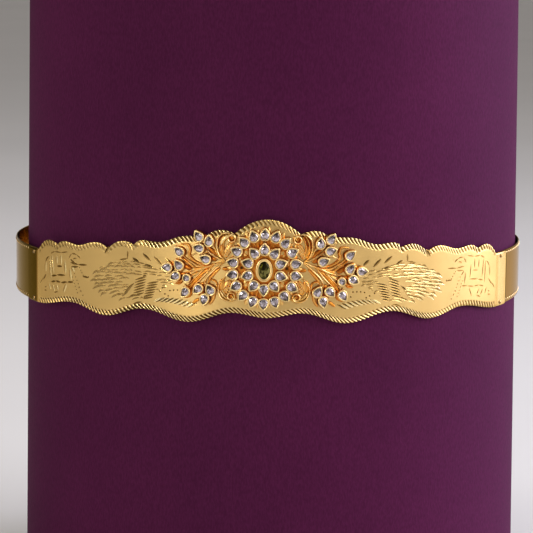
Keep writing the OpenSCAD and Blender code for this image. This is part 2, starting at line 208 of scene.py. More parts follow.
def wrapped(along: np.ndarray, height: np.ndarray, radius: np.ndarray, measured_at: float) -> np.ndarray:
    """Points round the loop: x = r sin(a), y = -r cos(a), z = height, where a is the length over its radius.

    Args:
        along: Lengths along the curve.
        height: Heights above the ground.
        radius: Distances from the loop's axis.
        measured_at: Radius at which the lengths are measured.

    Returns:
        Array of points, with the shape of the inputs and three numbers each.
    """
    angle = np.asarray(along, float) / measured_at
    x, y, z = np.broadcast_arrays(radius * np.sin(angle), -radius * np.cos(angle), height)
    return np.stack([x, y, z], axis=-1)


class Shell:
    """Grids of points gathered into one mesh, with a relief and a polish value at each point."""

    def __init__(self) -> None:
        """Starts with no points."""
        self.points: list[np.ndarray] = []
        self.relief: list[np.ndarray] = []
        self.polish: list[np.ndarray] = []
        self.quads: list[np.ndarray] = []
        self.triangles: list[np.ndarray] = []
        self.count = 0

    def _store(self, points: np.ndarray, relief: np.ndarray, polish: np.ndarray) -> int:
        """Keeps points and their values.

        Args:
            points: Points of any array shape.
            relief: Relief of each point.
            polish: Polish of each point.

        Returns:
            The number of the first point.
        """
        first = self.count
        self.points.append(points.reshape(-1, 3))
        self.relief.append(relief.reshape(-1))
        self.polish.append(polish.reshape(-1))
        self.count += len(self.points[-1])
        return first

    def grid(self, points: np.ndarray, relief: float | np.ndarray = 1.0, polish: float | np.ndarray = 0.0,
             closed_rows: bool = False, caps: bool = False) -> None:
        """Adds one grid, or many of the same size, as quads between its rows and its closed columns.

        Args:
            points: Array (rows, columns, 3), or (copies, rows, columns, 3). Each row is a closed ring.
            relief: Relief value, one number or one for each point.
            polish: Polish value, one number or one for each point.
            closed_rows: True where the last row joins the first, as in a ring of sections.
            caps: True to close the first and last row with a fan of triangles.
        """
        many = points if points.ndim == 4 else points[None]
        copies, rows, columns = many.shape[:3]
        values = [np.broadcast_to(v, points.shape[:-1]).reshape(many.shape[:3]) for v in (relief, polish)]
        first = self._store(many, *values)
        r = np.arange(rows if closed_rows else rows - 1)[:, None]
        c = np.arange(columns)[None, :]
        next_r, next_c = (r + 1) % rows, (c + 1) % columns
        quads = np.stack(np.broadcast_arrays(r * columns + c, r * columns + next_c, next_r * columns + next_c,
                                             next_r * columns + c), axis=-1).reshape(-1, 4)
        start = first + np.arange(copies)[:, None, None] * rows * columns
        self.quads.append((start + quads).reshape(-1, 4))
        if caps:
            for row in (0, rows - 1):
                self._cap(many, values, row, first)

    def _cap(self, many: np.ndarray, values: list[np.ndarray], row: int, first: int) -> None:
        """Closes one row of each copy with a fan round the row's middle point.

        Args:
            many: Points of all the copies.
            values: Their relief and polish.
            row: The row to close.
            first: Number of the first point.
        """
        copies, rows, columns = many.shape[:3]
        middle = self._store(many[:, row].mean(axis=1), *(v[:, row].mean(axis=1) for v in values))
        c = np.arange(columns)
        ring = np.stack([row * columns + c, row * columns + (c + 1) % columns], axis=-1)
        ends = first + np.arange(copies)[:, None, None] * rows * columns + ring[None]
        centre = np.broadcast_to((middle + np.arange(copies))[:, None, None], (copies, columns, 1))
        self.triangles.append(np.concatenate([ends, centre], axis=-1).reshape(-1, 3))

    def build(self, name: str, smooth_angle: float = 40.0) -> Piece:
        """Makes the mesh, merges doubles, turns its faces outwards and smooths its shading.

        Args:
            name: Name of the piece.
            smooth_angle: Edges sharper than this stay sharp.

        Returns:
            The new object at the origin.
        """
        quads = np.concatenate(self.quads) if self.quads else np.zeros((0, 4), int)
        triangles = np.concatenate(self.triangles) if self.triangles else np.zeros((0, 3), int)
        mesh = bpy.data.meshes.new(name)
        mesh.vertices.add(self.count)
        mesh.vertices.foreach_set("co", (np.concatenate(self.points) * MM).astype(np.float32).reshape(-1))
        mesh.loops.add(quads.size + triangles.size)
        mesh.loops.foreach_set("vertex_index", np.concatenate([quads.reshape(-1), triangles.reshape(-1)]))
        totals = np.concatenate([np.full(len(quads), 4), np.full(len(triangles), 3)])
        mesh.polygons.add(len(totals))
        mesh.polygons.foreach_set("loop_start", np.concatenate([[0], np.cumsum(totals)[:-1]]))
        for label, values in ((RELIEF_AND_PAINTED_LIGHT, self.relief), (POLISH, self.polish)):
            layer = mesh.attributes.new(label, "FLOAT", "POINT")
            layer.data.foreach_set("value", np.concatenate(values).astype(np.float32))
        mesh.update(calc_edges=True)
        mesh.validate()
        face_outwards(mesh, DOUBLES)
        mesh.shade_smooth()
        mesh.set_sharp_from_angle(angle=math.radians(smooth_angle))
        return put(name, mesh)


def dress(piece: Piece, material: Material, slot: Slot, *nodes: str) -> Piece:
    """Gives a new piece its finish and its body, and hides the nodes of the frame that it stands for.

    Args:
        piece: The new object.
        material: Its finish.
        slot: The record's slot of that finish; not used.
        nodes: Nodes of the frame that the piece replaces.

    Returns:
        The same object.
    """
    piece.data.materials.clear()
    piece.data.materials.append(material)
    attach(piece, ROOT)
    if nodes:
        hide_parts(*nodes)
    log.info("%s: %d faces", piece.name, len(piece.data.polygons))
    return piece


class Wiring:
    """Short calls that add and join the nodes of one material."""

    def __init__(self, name: str) -> None:
        """Starts a material with only its output and one Principled shader.

        Args:
            name: Name of the material.
        """
        self.material = bpy.data.materials.new(name)
        self.material.use_nodes = True
        self.tree = self.material.node_tree
        self.shader = self.tree.nodes["Principled BSDF"]

    def add(self, kind: str, **settings: object) -> bpy.types.Node:
        """Adds a node, and sets its properties, or its inputs by name with _ for a space.

        Args:
            kind: Type of the node.
            **settings: Values of its properties or inputs.

        Returns:
            The new node.
        """
        node = self.tree.nodes.new(kind)
        for key, value in settings.items():
            if hasattr(node, key):
                setattr(node, key, value)
            else:
                node.inputs[key.replace("_", " ")].default_value = value
        return node

    def link(self, source: Socket, target: Socket) -> None:
        """Joins an output to an input."""
        self.tree.links.new(source, target)

    def place(self) -> Socket:
        """The Object coordinates."""
        return self.add("ShaderNodeTexCoord").outputs["Object"]

    def noise(self, scale: float, detail: float = 2.0, stretch: Point = (1, 1, 1)) -> Socket:
        """A noise pattern over the Object coordinates.

        Args:
            scale: Spots to a metre.
            detail: Layers of finer noise.
            stretch: Factors on the scale along the three axes.

        Returns:
            The noise, from 0 to 1.
        """
        mapping = self.add("ShaderNodeMapping", Scale=stretch)
        self.link(self.place(), mapping.inputs["Vector"])
        node = self.add("ShaderNodeTexNoise", Scale=scale, Detail=detail)
        self.link(mapping.outputs["Vector"], node.inputs["Vector"])
        return node.outputs["Fac"]

    def attribute(self, name: str) -> Socket:
        """A value kept at the points of the mesh."""
        return self.add("ShaderNodeAttribute", attribute_name=name).outputs["Fac"]

    def ramp(self, source: Socket, stops: list[tuple[float, Colour]]) -> Socket:
        """A colour ramp over a value.

        Args:
            source: The value.
            stops: Positions along the ramp and their colours.

        Returns:
            The colour.
        """
        node = self.add("ShaderNodeValToRGB")
        elements = node.color_ramp.elements
        while len(elements) < len(stops):
            elements.new(0.5)
        for element, (position, colour) in zip(elements, stops):
            element.position = position
            element.color = (*colour, 1)
        self.link(source, node.inputs["Fac"])
        return node.outputs["Color"]

    def product(self, first: Socket, second: Socket) -> Socket:
        """The product of two colours, or of a colour and a value.

        Args:
            first: The colour.
            second: What it is multiplied by.

        Returns:
            The product.
        """
        node = self.add("ShaderNodeMix", data_type="RGBA", blend_type="MULTIPLY")
        whole, a, b = node.inputs[0], node.inputs[6], node.inputs[7]
        whole.default_value = 1.0
        self.link(first, a)
        self.link(second, b)
        return node.outputs[2]

    def scaled(self, source: Socket, low: float, high: float, start: float = 0.0, stop: float = 1.0) -> Socket:
        """A value mapped from one range to another.

        Args:
            source: The value.
            low: Result at the start.
            high: Result at the stop.
            start: Value that gives the lowest result.
            stop: Value that gives the highest result.

        Returns:
            The mapped value.
        """
        node = self.add("ShaderNodeMapRange", From_Min=start, From_Max=stop, To_Min=low, To_Max=high)
        self.link(source, node.inputs["Value"])
        return node.outputs["Result"]

    def bump(self, source: Socket, distance: float, strength: float = 1.0) -> None:
        """Adds fine unevenness to the surface.

        Args:
            source: Height of the unevenness, from 0 to 1.
            distance: Its full height in millimetres.
            strength: Share of it that shows.
        """
        node = self.add("ShaderNodeBump", Strength=strength, Distance=distance * MM)
        self.link(source, node.inputs["Height"])
        self.link(node.outputs["Normal"], self.shader.inputs["Normal"])

    def set(self, **values: object) -> None:
        """Sets unlinked inputs of the shader, by name with _ for a space."""
        for key, value in values.items():
            self.shader.inputs[key.replace("_", " ")].default_value = value


@dataclass(frozen=True)
class GoldFinish:
    """Gold, deeper in its recesses than on its faces, and palest on its lips: partly an antique darkening of the
    hollows and wear on the lips, partly painted shade in recesses and painted highlight on lips and crests.
    """

    name: str
    lip: Colour
    face: Colour
    recess: Colour
    deepest: Colour
    roughness: float
    polished: float
    grain: float
    recess_at: float = 0.4
    grain_scale: float = 2600.0
    smear_scale: float = 325.0
    cloud_scale: float = 60.0
    tint: tuple[float, float, float, float] = (1.0, 0.8, 0.5, 1.0)

    def make(self) -> Material:
        """Builds the material: colour by relief and a faint cloud, gloss by polish, and a fine grain.

        Returns:
            The material.
        """
        w = Wiring(self.name)
        # Colour ramp over the relief: painted shade towards the recesses and painted highlight towards the lips, on
        # top of the antique darkening
        stops = [(0.0, self.deepest), (self.recess_at, self.recess), (FACE, self.face), (1.0, self.lip)]
        cloud = w.scaled(w.noise(self.cloud_scale), 0.93, 1.05, *MIDDLE_NOISE)
        w.link(w.product(w.ramp(w.attribute(RELIEF_AND_PAINTED_LIGHT), stops), cloud), w.shader.inputs["Base Color"])
        uneven = w.add("ShaderNodeMath", operation="MULTIPLY")
        w.link(w.scaled(w.attribute(POLISH), self.roughness, self.polished), uneven.inputs[0])
        w.link(w.scaled(w.noise(self.smear_scale), 0.85, 1.2, *MIDDLE_NOISE), uneven.inputs[1])
        w.link(uneven.outputs["Value"], w.shader.inputs["Roughness"])
        w.set(Metallic=1.0, Specular_Tint=self.tint)
        w.bump(w.noise(self.grain_scale, 3.0), self.grain)
        return w.material


@dataclass(frozen=True)
class RivetFinish:
    """Polished gold of a small domed head, darker than the other golds: a painted dark reflection."""

    name: str
    light: Colour
    dark: Colour
    grain: float = 0.006

    def make(self) -> Material:
        """Builds the material from a fine cloud of two golds, with a little grain.

        Returns:
            The material.
        """
        w = Wiring(self.name)
        w.link(w.ramp(w.noise(900.0), [(0.35, self.dark), (0.65, self.light)]), w.shader.inputs["Base Color"])
        w.link(w.scaled(w.noise(500.0), 0.12, 0.24), w.shader.inputs["Roughness"])
        w.set(Metallic=1.0)
        w.bump(w.noise(2600.0, 3.0), self.grain)
        return w.material


@dataclass(frozen=True)
class FacetFinish:
    """A foil-backed cut stone: each facet mirrors with its own tone, a painted reflection from dark to white, under a
    clear hard gloss.
    """

    name: str
    dark: Colour
    shade: Colour
    middle: Colour
    bright: Colour
    roughness: float = 0.13
    coat: float = 0.5
    coat_roughness: float = 0.02
    coat_ior: float = 1.6

    def make(self) -> Material:
        """Builds the material: colour by the facet's tone, a painted reflection, with a faint cloud, and a glassy
        coat.

        Returns:
            The material.
        """
        w = Wiring(self.name)
        stops = [(0.0, self.dark), (0.3, self.shade), (0.55, self.middle), (1.0, self.bright)]
        cloud = w.ramp(w.noise(1400.0), [(0.3, (0.86, 0.84, 0.87)), (0.7, (1.0, 1.0, 1.0))])
        w.link(w.product(w.ramp(w.attribute(FACET_REFLECTION), stops), cloud), w.shader.inputs["Base Color"])
        w.set(Metallic=1.0, Roughness=self.roughness, Coat_Weight=self.coat,
              Coat_Roughness=self.coat_roughness, Coat_IOR=self.coat_ior)
        return w.material


@dataclass(frozen=True)
class PaperFinish:
    """Matt coloured paper with a fine fibre and a faint mottle."""

    name: str
    light: Colour
    dark: Colour
    fibre: float = 0.05
    sheen: float = 0.035

    def make(self) -> Material:
        """Builds the material from a wide mottle, a fine fleck and a fibre bump, both stretched upright.

        Returns:
            The material.
        """
        w = Wiring(self.name)
        mottle = w.ramp(w.noise(14.0, 3.0), [(0.3, self.dark), (0.7, self.light)])
        fleck = w.ramp(w.noise(1500.0, 4.0, (1, 1, 0.35)), [(0.35, (0.82,) * 3), (0.65, (1.12,) * 3)])
        w.link(w.product(mottle, fleck), w.shader.inputs["Base Color"])
        w.link(w.scaled(w.noise(700.0), 0.62, 0.8), w.shader.inputs["Roughness"])
        w.set(Specular_IOR_Level=self.sheen)
        w.bump(w.noise(2400.0, 4.0, (1, 1, 0.4)), self.fibre, 0.6)
        return w.material


@dataclass(frozen=True)
class FloorFinish:
    """Pale matt floor."""

    name: str
    colour: Colour
    dimming: float = 0.96

    def make(self) -> Material:
        """Builds a pale matt material with a faint cloud.

        Returns:
            The material.
        """
        w = Wiring(self.name)
        dim = tuple(self.dimming * c for c in self.colour)
        w.link(w.ramp(w.noise(2.0), [(0.35, dim), (0.65, self.colour)]), w.shader.inputs["Base Color"])
        w.set(Roughness=0.75)
        return w.material


@dataclass(frozen=True)
class Strokes:
    """Cuts in the sheet: two ends of each, its bow to the left, its width, its darkness and its bright lip; the
    darkness is painted shade and the lip a painted highlight.
    """

    rows: np.ndarray

    @staticmethod
    def of(rows: list[tuple[float, ...]], width: float, dark: float, lip: float) -> "Strokes":
        """Strokes from rows of two ends and an optional bow, with one width, darkness and lip."""
        full = [(*row[:4], row[4] if len(row) > 4 else 0.0, width, dark, lip) for row in rows]
        return Strokes(np.array(full, float))

    def joined(self, other: "Strokes") -> "Strokes":
        """These strokes and the other ones."""
        return Strokes(np.concatenate([self.rows, other.rows]))

    def mirrored(self) -> "Strokes":
        """The same strokes on the other side, still running from left to right.

        Returns:
            The mirrored strokes.
        """
        rows = self.rows.copy()
        rows[:, [0, 2]] = -self.rows[:, [2, 0]]
        rows[:, [1, 3]] = self.rows[:, [3, 1]]
        return Strokes(rows)


@dataclass
class PlateOutline:
    """Edges of the scalloped plate, read from the rim of its node."""

    radius: float
    strap_low: float
    strap_top: float
    half: float
    corner: float = 1.5
    scallop_half: float = 125.0
    rim_slope: float = 0.12
    face_depth: float = 0.3
    upper: np.ndarray = field(init=False)
    lower: np.ndarray = field(init=False)

    def __post_init__(self) -> None:
        """Finds the rim faces of the node and keeps the points of its two edges, one at each length."""
        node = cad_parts["front_plate"]
        mesh, matrix = node.data, np.array(node.matrix_world)
        points, normals = np.zeros(len(mesh.vertices) * 3), np.zeros(len(mesh.polygons) * 3)
        corners = np.zeros(len(mesh.loops), int)
        mesh.vertices.foreach_get("co", points)
        mesh.polygons.foreach_get("normal", normals)
        mesh.loops.foreach_get("vertex_index", corners)
        x, y, height = (placed(matrix, points.reshape(-1, 3)) / MM).T
        slope = (normals.reshape(-1, 3) @ matrix[:3, :3].T)[:, 2]
        faces = corners.reshape(-1, 3)
        along = self.radius * np.arctan2(x, -y)
        on_face = (np.hypot(x, y) > self.radius - self.face_depth) & (np.abs(along) <= self.scallop_half + 0.2)
        middle = (self.strap_low + self.strap_top) / 2
        edges = []
        for up in (1, -1):
            picked = np.unique(faces[slope * up > self.rim_slope])
            picked = picked[on_face[picked] & ((height[picked] - middle) * up > 0)]
            place = np.round(along[picked], 2)
            order = np.lexsort((-up * height[picked], place))
            first = np.concatenate([[True], np.diff(place[order]) > 0])
            edges.append(np.stack([along[picked], height[picked]], axis=-1)[order][first])
        self.upper, self.lower = edges

    def _tab(self, along: np.ndarray) -> np.ndarray:
        """How far an edge of the tab is set back at its slanted corner."""
        return np.clip(np.abs(along) - (self.half - self.corner), 0, self.corner)

    def top(self, along: np.ndarray) -> np.ndarray:
        """Height of the upper edge."""
        scalloped = np.interp(along, self.upper[:, 0], self.upper[:, 1])
        return np.where(np.abs(along) < self.scallop_half, scalloped, self.strap_top - self._tab(along))

    def low(self, along: np.ndarray) -> np.ndarray:
        """Height of the lower edge."""
        scalloped = np.interp(along, self.lower[:, 0], self.lower[:, 1])
        return np.where(np.abs(along) < self.scallop_half, scalloped, self.strap_low + self._tab(along))


@dataclass
class Engraving:
    """The figures cut into the sheet on the right side; the left side mirrors them.

    Each cut is a lens in plan. Across it a dark groove lies on its upper side and a bright lip on its lower one:
    painted shade in the groove and a painted highlight on the lip, as for light from above. A cut without a lip is
    dark over its whole width, and one of negative darkness is a pale stroke, a painted highlight. The fields named
    cut, dot or gleam hold a cut's width, darkness and lip, and the bold and faint ones only the first two.
    """

    seed: int = 7
    across: tuple[float, ...] = (1.0, 0.7, 0.3, 0.0, -0.2, -0.75, -1.0)
    lift: tuple[float, ...] = (-0.05, 0.02, 0.01, 0.01, 0.02, 0.02, -0.05)
    rise: tuple[float, ...] = (0.0, 0.0, 0.0, 0.0, 0.02, 0.1, 0.0)
    groove: tuple[float, ...] = (0.35, 1.0, 1.0, 0.8, 0.1, 0.0, 0.0)
    spread: tuple[float, ...] = (0.0, 0.0, 0.0, 0.2, 0.9, 0.8, 0.3)
    lip: tuple[float, ...] = (0.0, 0.0, 0.0, 0.0, 0.7, 1.0, 0.6)
    polish: float = 0.9
    comb_field: tuple[float, float, float, float] = (49.5, 65.0, 151.5, 160.8)
    rows: int = 6
    feather: float = 4.6
    feather_step: float = 3.7
    fan_lines: tuple[tuple[float, float, float, float, float], ...] = (
        (54.0, 166.6, 71.5, 166.2, 0.5), (47.0, 165.0, 75.5, 165.0, 0.8), (43.0, 164.0, 78.8, 163.4, 1.0),
        (42.0, 162.8, 81.2, 161.8, 0.9), (41.5, 161.6, 82.8, 160.2, 0.9), (41.0, 160.6, 83.8, 158.6, 0.9),
        (41.0, 159.6, 84.2, 157.0, 0.9), (41.5, 158.6, 83.8, 155.4, 0.9), (43.0, 157.6, 82.8, 153.8, 1.1),
        (45.0, 156.8, 81.2, 152.3, 1.3), (47.0, 155.8, 78.6, 151.0, 1.4), (50.0, 154.6, 74.0, 150.2, 1.3),
        (53.0, 153.0, 68.5, 149.6, 0.8), (56.0, 151.4, 63.0, 149.8, 0.3))
    # Shares for the left fan's cuts: narrower, with less painted shade and painted highlight
    faint_left_fan: tuple[float, ...] = (1, 1, 1, 1, 1, 0.75, 0.6, 0.5)
    leaf_first: float = 31.0
    leaf_last: float = 47.4
    leaf_pitch: float = 2.15
    deep_cut: Point = (1.7, 0.85, 0.6)
    brown_cut: Point = (1.1, 0.65, 0.4)
    comb_cut: Point = (1.25, 1.0, 0.7)
    # Left combs: narrower, with less painted shade and painted highlight
    worn_comb_cut: Point = (1.1, 0.55, 0.4)
    leaf_cut: Point = (1.1, 1.0, 0.6)
    leaf_gleam: Point = (1.1, -0.4, 0.0)
    dot_cut: Point = (0.95, 0.9, 0.3)
    figure_cut: Point = (0.9, 0.62, 0.2)
    figure_dot: Point = (0.85, 0.62, 0.2)
    figure_gleam: Point = (1.1, -0.35, 0.0)
    gleam_shift: float = 0.85
    cheek: tuple[float, float, float, float] = (94.5, 162.8, 98.5, 164.8)
    cheek_cut: Point = (1.2, 1.0, 0.3)
    steep: float = 1.2
    bold_length: float = 1.5
    bold_band: tuple[float, float] = (152.5, 164.0)
    bold_cut: tuple[float, float] = (1.15, 0.75)
    faint_cut: tuple[float, float] = (0.85, 0.42)

    def fan(self) -> Strokes:
        """A spread of overlapping feathers, laid end over end along bowed lines that part towards their tips.

        A feather's place, length, height and bow vary a little at random. Towards the right end it is wider and paler,
        with a brighter lip: more painted highlight and less painted shade where the light falls. None lies in the
        combs' field.

        Returns:
            The feathers.
        """
        rng = np.random.default_rng(self.seed)
        rows = []
        for k, (s0, z0, s1, z1, bow) in enumerate(self.fan_lines):
            length = math.hypot(s1 - s0, z1 - z0)
            count = max(2, int(length / self.feather_step))
            for i in range(count):
                jig = rng.normal(0, 1, 5)
                t = (i + (0.25 if k % 2 else 0.75) + 0.18 * jig[0]) / count
                half = self.feather / 2 / length * (0.8 + 0.3 * t + 0.2 * jig[1])
                low_s, high_s, low_z, high_z = self.comb_field
                if low_s < s0 + (s1 - s0) * t < high_s and low_z < z0 + (z1 - z0) * t < high_z:
                    continue
                ends = np.clip([t - half, t + half], 0, 1.03)
                along = s0 + (s1 - s0) * ends
                height = z0 + (z1 - z0) * ends + bow * 4 * ends * (1 - ends) + 0.24 * jig[2]
                right = smoothstep(50, 78, s0 + (s1 - s0) * t)
                rows.append((along[0], height[0] + 0.25 * jig[3], along[1], height[1] - 0.5 * right,
                             0.25 + 0.3 * right + 0.2 * jig[4], 1.05 + (0.7 + 0.15 * jig[3]) * right,
                             0.62 - 0.2 * right, 0.75 + 0.25 * right))
        return Strokes(np.array(rows, float))

    def quills(self, side: Side) -> Strokes:
        """Deep slanted cuts above the fan and the combs of cuts within it, which are narrower and fainter on the left
        side, with less painted shade and painted highlight.

        Args:
            side: Side of the belt.

        Returns:
            The cuts, as they lie on the right side.
        """
        deep = [(42.4, 167.4, 45.2, 169.8), (47.2, 166.6, 50.9, 170.0), (52.5, 168.0, 56.4, 171.0),
                (58.1, 166.8, 61.6, 168.8), (51.0, 164.9, 55.2, 166.4), (74.2, 172.6, 76.7, 169.6)]
        brown = [(64.1, 171.6, 64.2, 168.0), (64.3, 168.2, 68.6, 167.3), (59.5, 152.6, 63.6, 151.0, 0.4),
                 (65.8, 151.8, 71.6, 151.0, 0.8), (56.8, 149.6, 61.4, 148.2, 0.3), (54.6, 161.6, 56.3, 160.2, 0.5)]
        comb = [(48.6 + 0.45 * k, 159.2 - 1.15 * k, 54.2 + 0.35 * k, 158.0 - 1.15 * k) for k in range(7)]
        comb += [(54.6 + 0.2 * k, 161.0 - 1.2 * k, 60.2 + 0.2 * k, 159.2 - 1.2 * k) for k in range(7)]
        comb += [(60.8 + 0.7 * k, 157.6 - 0.9 * k, 64.4 + 0.7 * k, 154.8 - 0.9 * k) for k in range(5)]
        comb += [(53.2, 152.9, 56.2, 151.6)]
        combs = Strokes.of(comb, *(self.comb_cut if side is Side.RIGHT else self.worn_comb_cut))
        return combs.joined(Strokes.of(deep, *self.deep_cut)).joined(Strokes.of(brown, *self.brown_cut))

    def leaf(self) -> Strokes:
        """A tapered leaf of slanted cuts under the spray, with a pale stroke, a painted highlight, between each two of
        them.

        Returns:
            The cuts and the pale strokes.
        """
        places = np.arange(self.leaf_first, self.leaf_last, self.leaf_pitch)
        share = (places - self.leaf_first) / (self.leaf_last - self.leaf_first)
        top = 150.6 + 1.7 * np.sin(np.pi * np.minimum(share * 1.15, 1) * 0.62)
        on = 0.6 * self.leaf_pitch
        dark = [(s - 0.4, z + 0.2, s + 3.8, z - 2.0) for s, z in zip(places, top)]
        pale = [(s + on, z, s + 3.6 + on, z - 1.9) for s, z in zip(places, top)]
        return Strokes.of(dark, *self.leaf_cut).joined(Strokes.of(pale, *self.leaf_gleam))

    def dots(self) -> Strokes:
        """Punched dots between the fan and the leaf."""
        at = [(37.8, 156.0), (39.6, 156.0), (41.4, 155.9), (43.2, 155.6), (45.6, 154.0), (44.0, 153.2),
              (46.8, 156.6), (36.8, 153.9), (48.0, 155.0), (86.6, 158.0)]
        return Strokes.of([(s - 0.4, z + 0.1, s + 0.4, z - 0.1) for s, z in at], *self.dot_cut)

    def elephant(self, side: Side) -> Strokes:
        """An elephant with its howdah, facing the middle of the belt.

        On the left side its long level cuts are bolder, the others are fainter, and each steep one has a pale stroke
        beside it, a painted highlight.

        Args:
            side: Side of the belt.

        Returns:
            The cuts, as they lie on the right side.
        """
        lines = [
            (91.6, 165.6, 94.0, 167.1, 0.2), (94.0, 167.1, 97.6, 167.2, 0.35), (97.6, 167.2, 99.6, 164.8, 0.2),
            (94.2, 165.6, 96.8, 164.9, 0.2), (87.4, 163.3, 93.0, 162.9), (93.0, 162.9, 98.4, 163.3),
            (93.0, 162.0, 97.8, 161.6, -0.2), (97.8, 161.6, 96.2, 159.4, 0.3), (86.4, 157.6, 90.2, 157.8, 0.2),
            (99.3, 160.4, 98.6, 155.4), (103.2, 163.8, 102.5, 157.8), (100.4, 167.9, 105.4, 167.0),
            (105.4, 167.0, 110.4, 167.0), (110.4, 167.0, 113.8, 165.7), (106.0, 166.0, 105.9, 161.7),
            (109.4, 165.4, 109.1, 161.7), (104.6, 160.9, 108.6, 160.5), (113.2, 165.2, 112.0, 157.0),
            (115.0, 164.3, 114.2, 154.4), (102.2, 157.1, 108.6, 156.6), (108.8, 156.3, 113.1, 155.6),
            (96.4, 154.7, 100.6, 154.2), (100.8, 154.2, 105.4, 153.4), (105.8, 153.5, 109.6, 153.7),
            (109.6, 153.6, 113.4, 152.8), (115.4, 164.1, 118.4, 161.4, 0.35), (118.4, 161.4, 118.8, 157.0, 0.3),
            (117.8, 155.8, 120.6, 153.0), (120.3, 154.0, 124.0, 150.8), (102.0, 153.2, 104.0, 149.2),
            (109.6, 152.0, 108.2, 149.8), (107.8, 149.2, 111.0, 148.2), (112.7, 151.5, 111.2, 149.2),
            (115.9, 152.0, 114.7, 149.3), (117.6, 150.2, 119.0, 149.8), (117.4, 148.5, 119.8, 148.3)]
        dotted = [((92.2, 161.6), (89.8, 158.4), 4), ((95.6, 158.6), (91.4, 151.4), 6),
                  ((97.2, 156.8), (93.6, 150.2), 6), ((92.6, 152.6), (90.0, 149.4), 3)]
        dots = []
        for (s0, z0), (s1, z1), count in dotted:
            for t in np.linspace(0, 1, count):
                s, z = s0 + (s1 - s0) * t, z0 + (z1 - z0) * t
                dots.append((s - 0.3, z + 0.2, s + 0.3, z - 0.2))
        figure = Strokes.of(lines, *self.figure_cut).joined(Strokes.of(dots, *self.figure_dot))
        if side is Side.RIGHT:
            return figure
        rows = figure.joined(Strokes.of([self.cheek], *self.cheek_cut)).rows
        upright = np.abs(rows[:, 3] - rows[:, 1]) > self.steep * np.abs(rows[:, 2] - rows[:, 0])
        middle = (rows[:, 1] + rows[:, 3]) / 2
        bold = ~upright & (rows[:, 2] - rows[:, 0] > self.bold_length)
        bold &= (middle > self.bold_band[0]) & (middle < self.bold_band[1])
        rows[:, 5:7] = np.where(bold[:, None], self.bold_cut, self.faint_cut)
        # Pale strokes beside the steep cuts: painted highlights
        pale = rows[upright]
        pale[:, [0, 2]] -= self.gleam_shift
        pale[:, 5:] = self.figure_gleam
        return Strokes(rows).joined(Strokes(pale))

    def build(self, radius: float, finish: Material) -> Piece:
        """Lays every cut on the sheet's face, on both sides.

        With t the share along a cut, its line is bowed by bow times 4t(1-t), and its half width is half the width
        times sin(pi (0.06 + 0.88t)) to the power 0.7.

        Args:
            radius: Radius of the sheet's face.
            finish: Gold of the sheet.

        Returns:
            All the cuts in one piece.
        """
        fan, plain = self.fan(), self.leaf().joined(self.dots())
        right, left = (plain.joined(self.quills(s)).joined(self.elephant(s)) for s in (Side.RIGHT, Side.LEFT))
        cuts = fan.joined(right).joined(Strokes(fan.rows * self.faint_left_fan).joined(left).mirrored())
        s0, z0, s1, z1, bow, width, dark, bright = (cuts.rows[:, i, None, None] for i in range(8))
        t = np.linspace(0, 1, self.rows)[None, :, None]
        profile = (self.across, self.lift, self.rise, self.groove, self.spread, self.lip)
        side, lift, rise, groove, spread, lip = (np.array(v)[None, None, :] for v in profile)
        length = np.hypot(s1 - s0, z1 - z0)
        swell = np.sin(math.pi * (0.06 + 0.88 * t)) ** 0.7
        off = bow * 4 * t * (1 - t) + width / 2 * swell * side
        along = s0 + (s1 - s0) * t - (z1 - z0) / length * off
        height = z0 + (z1 - z0) * t + (s1 - s0) / length * off
        deep = np.minimum(groove + spread * (1 - bright), 1)
        # Painted shade along each groove and a painted highlight on its lip
        relief = FACE - FACE * dark * deep * swell ** 0.5 + (1 - FACE) * lip * bright + 0 * off
        lifted = np.minimum(lift, lift * swell) + rise * bright * swell
        points = wrapped(along, height, radius + lifted, radius)
        shell = Shell()
        shell.grid(points, relief, self.polish, caps=True)
        return dress(shell.build("engraved_cuts", 30), finish, Slot.GOLD_SHEET)


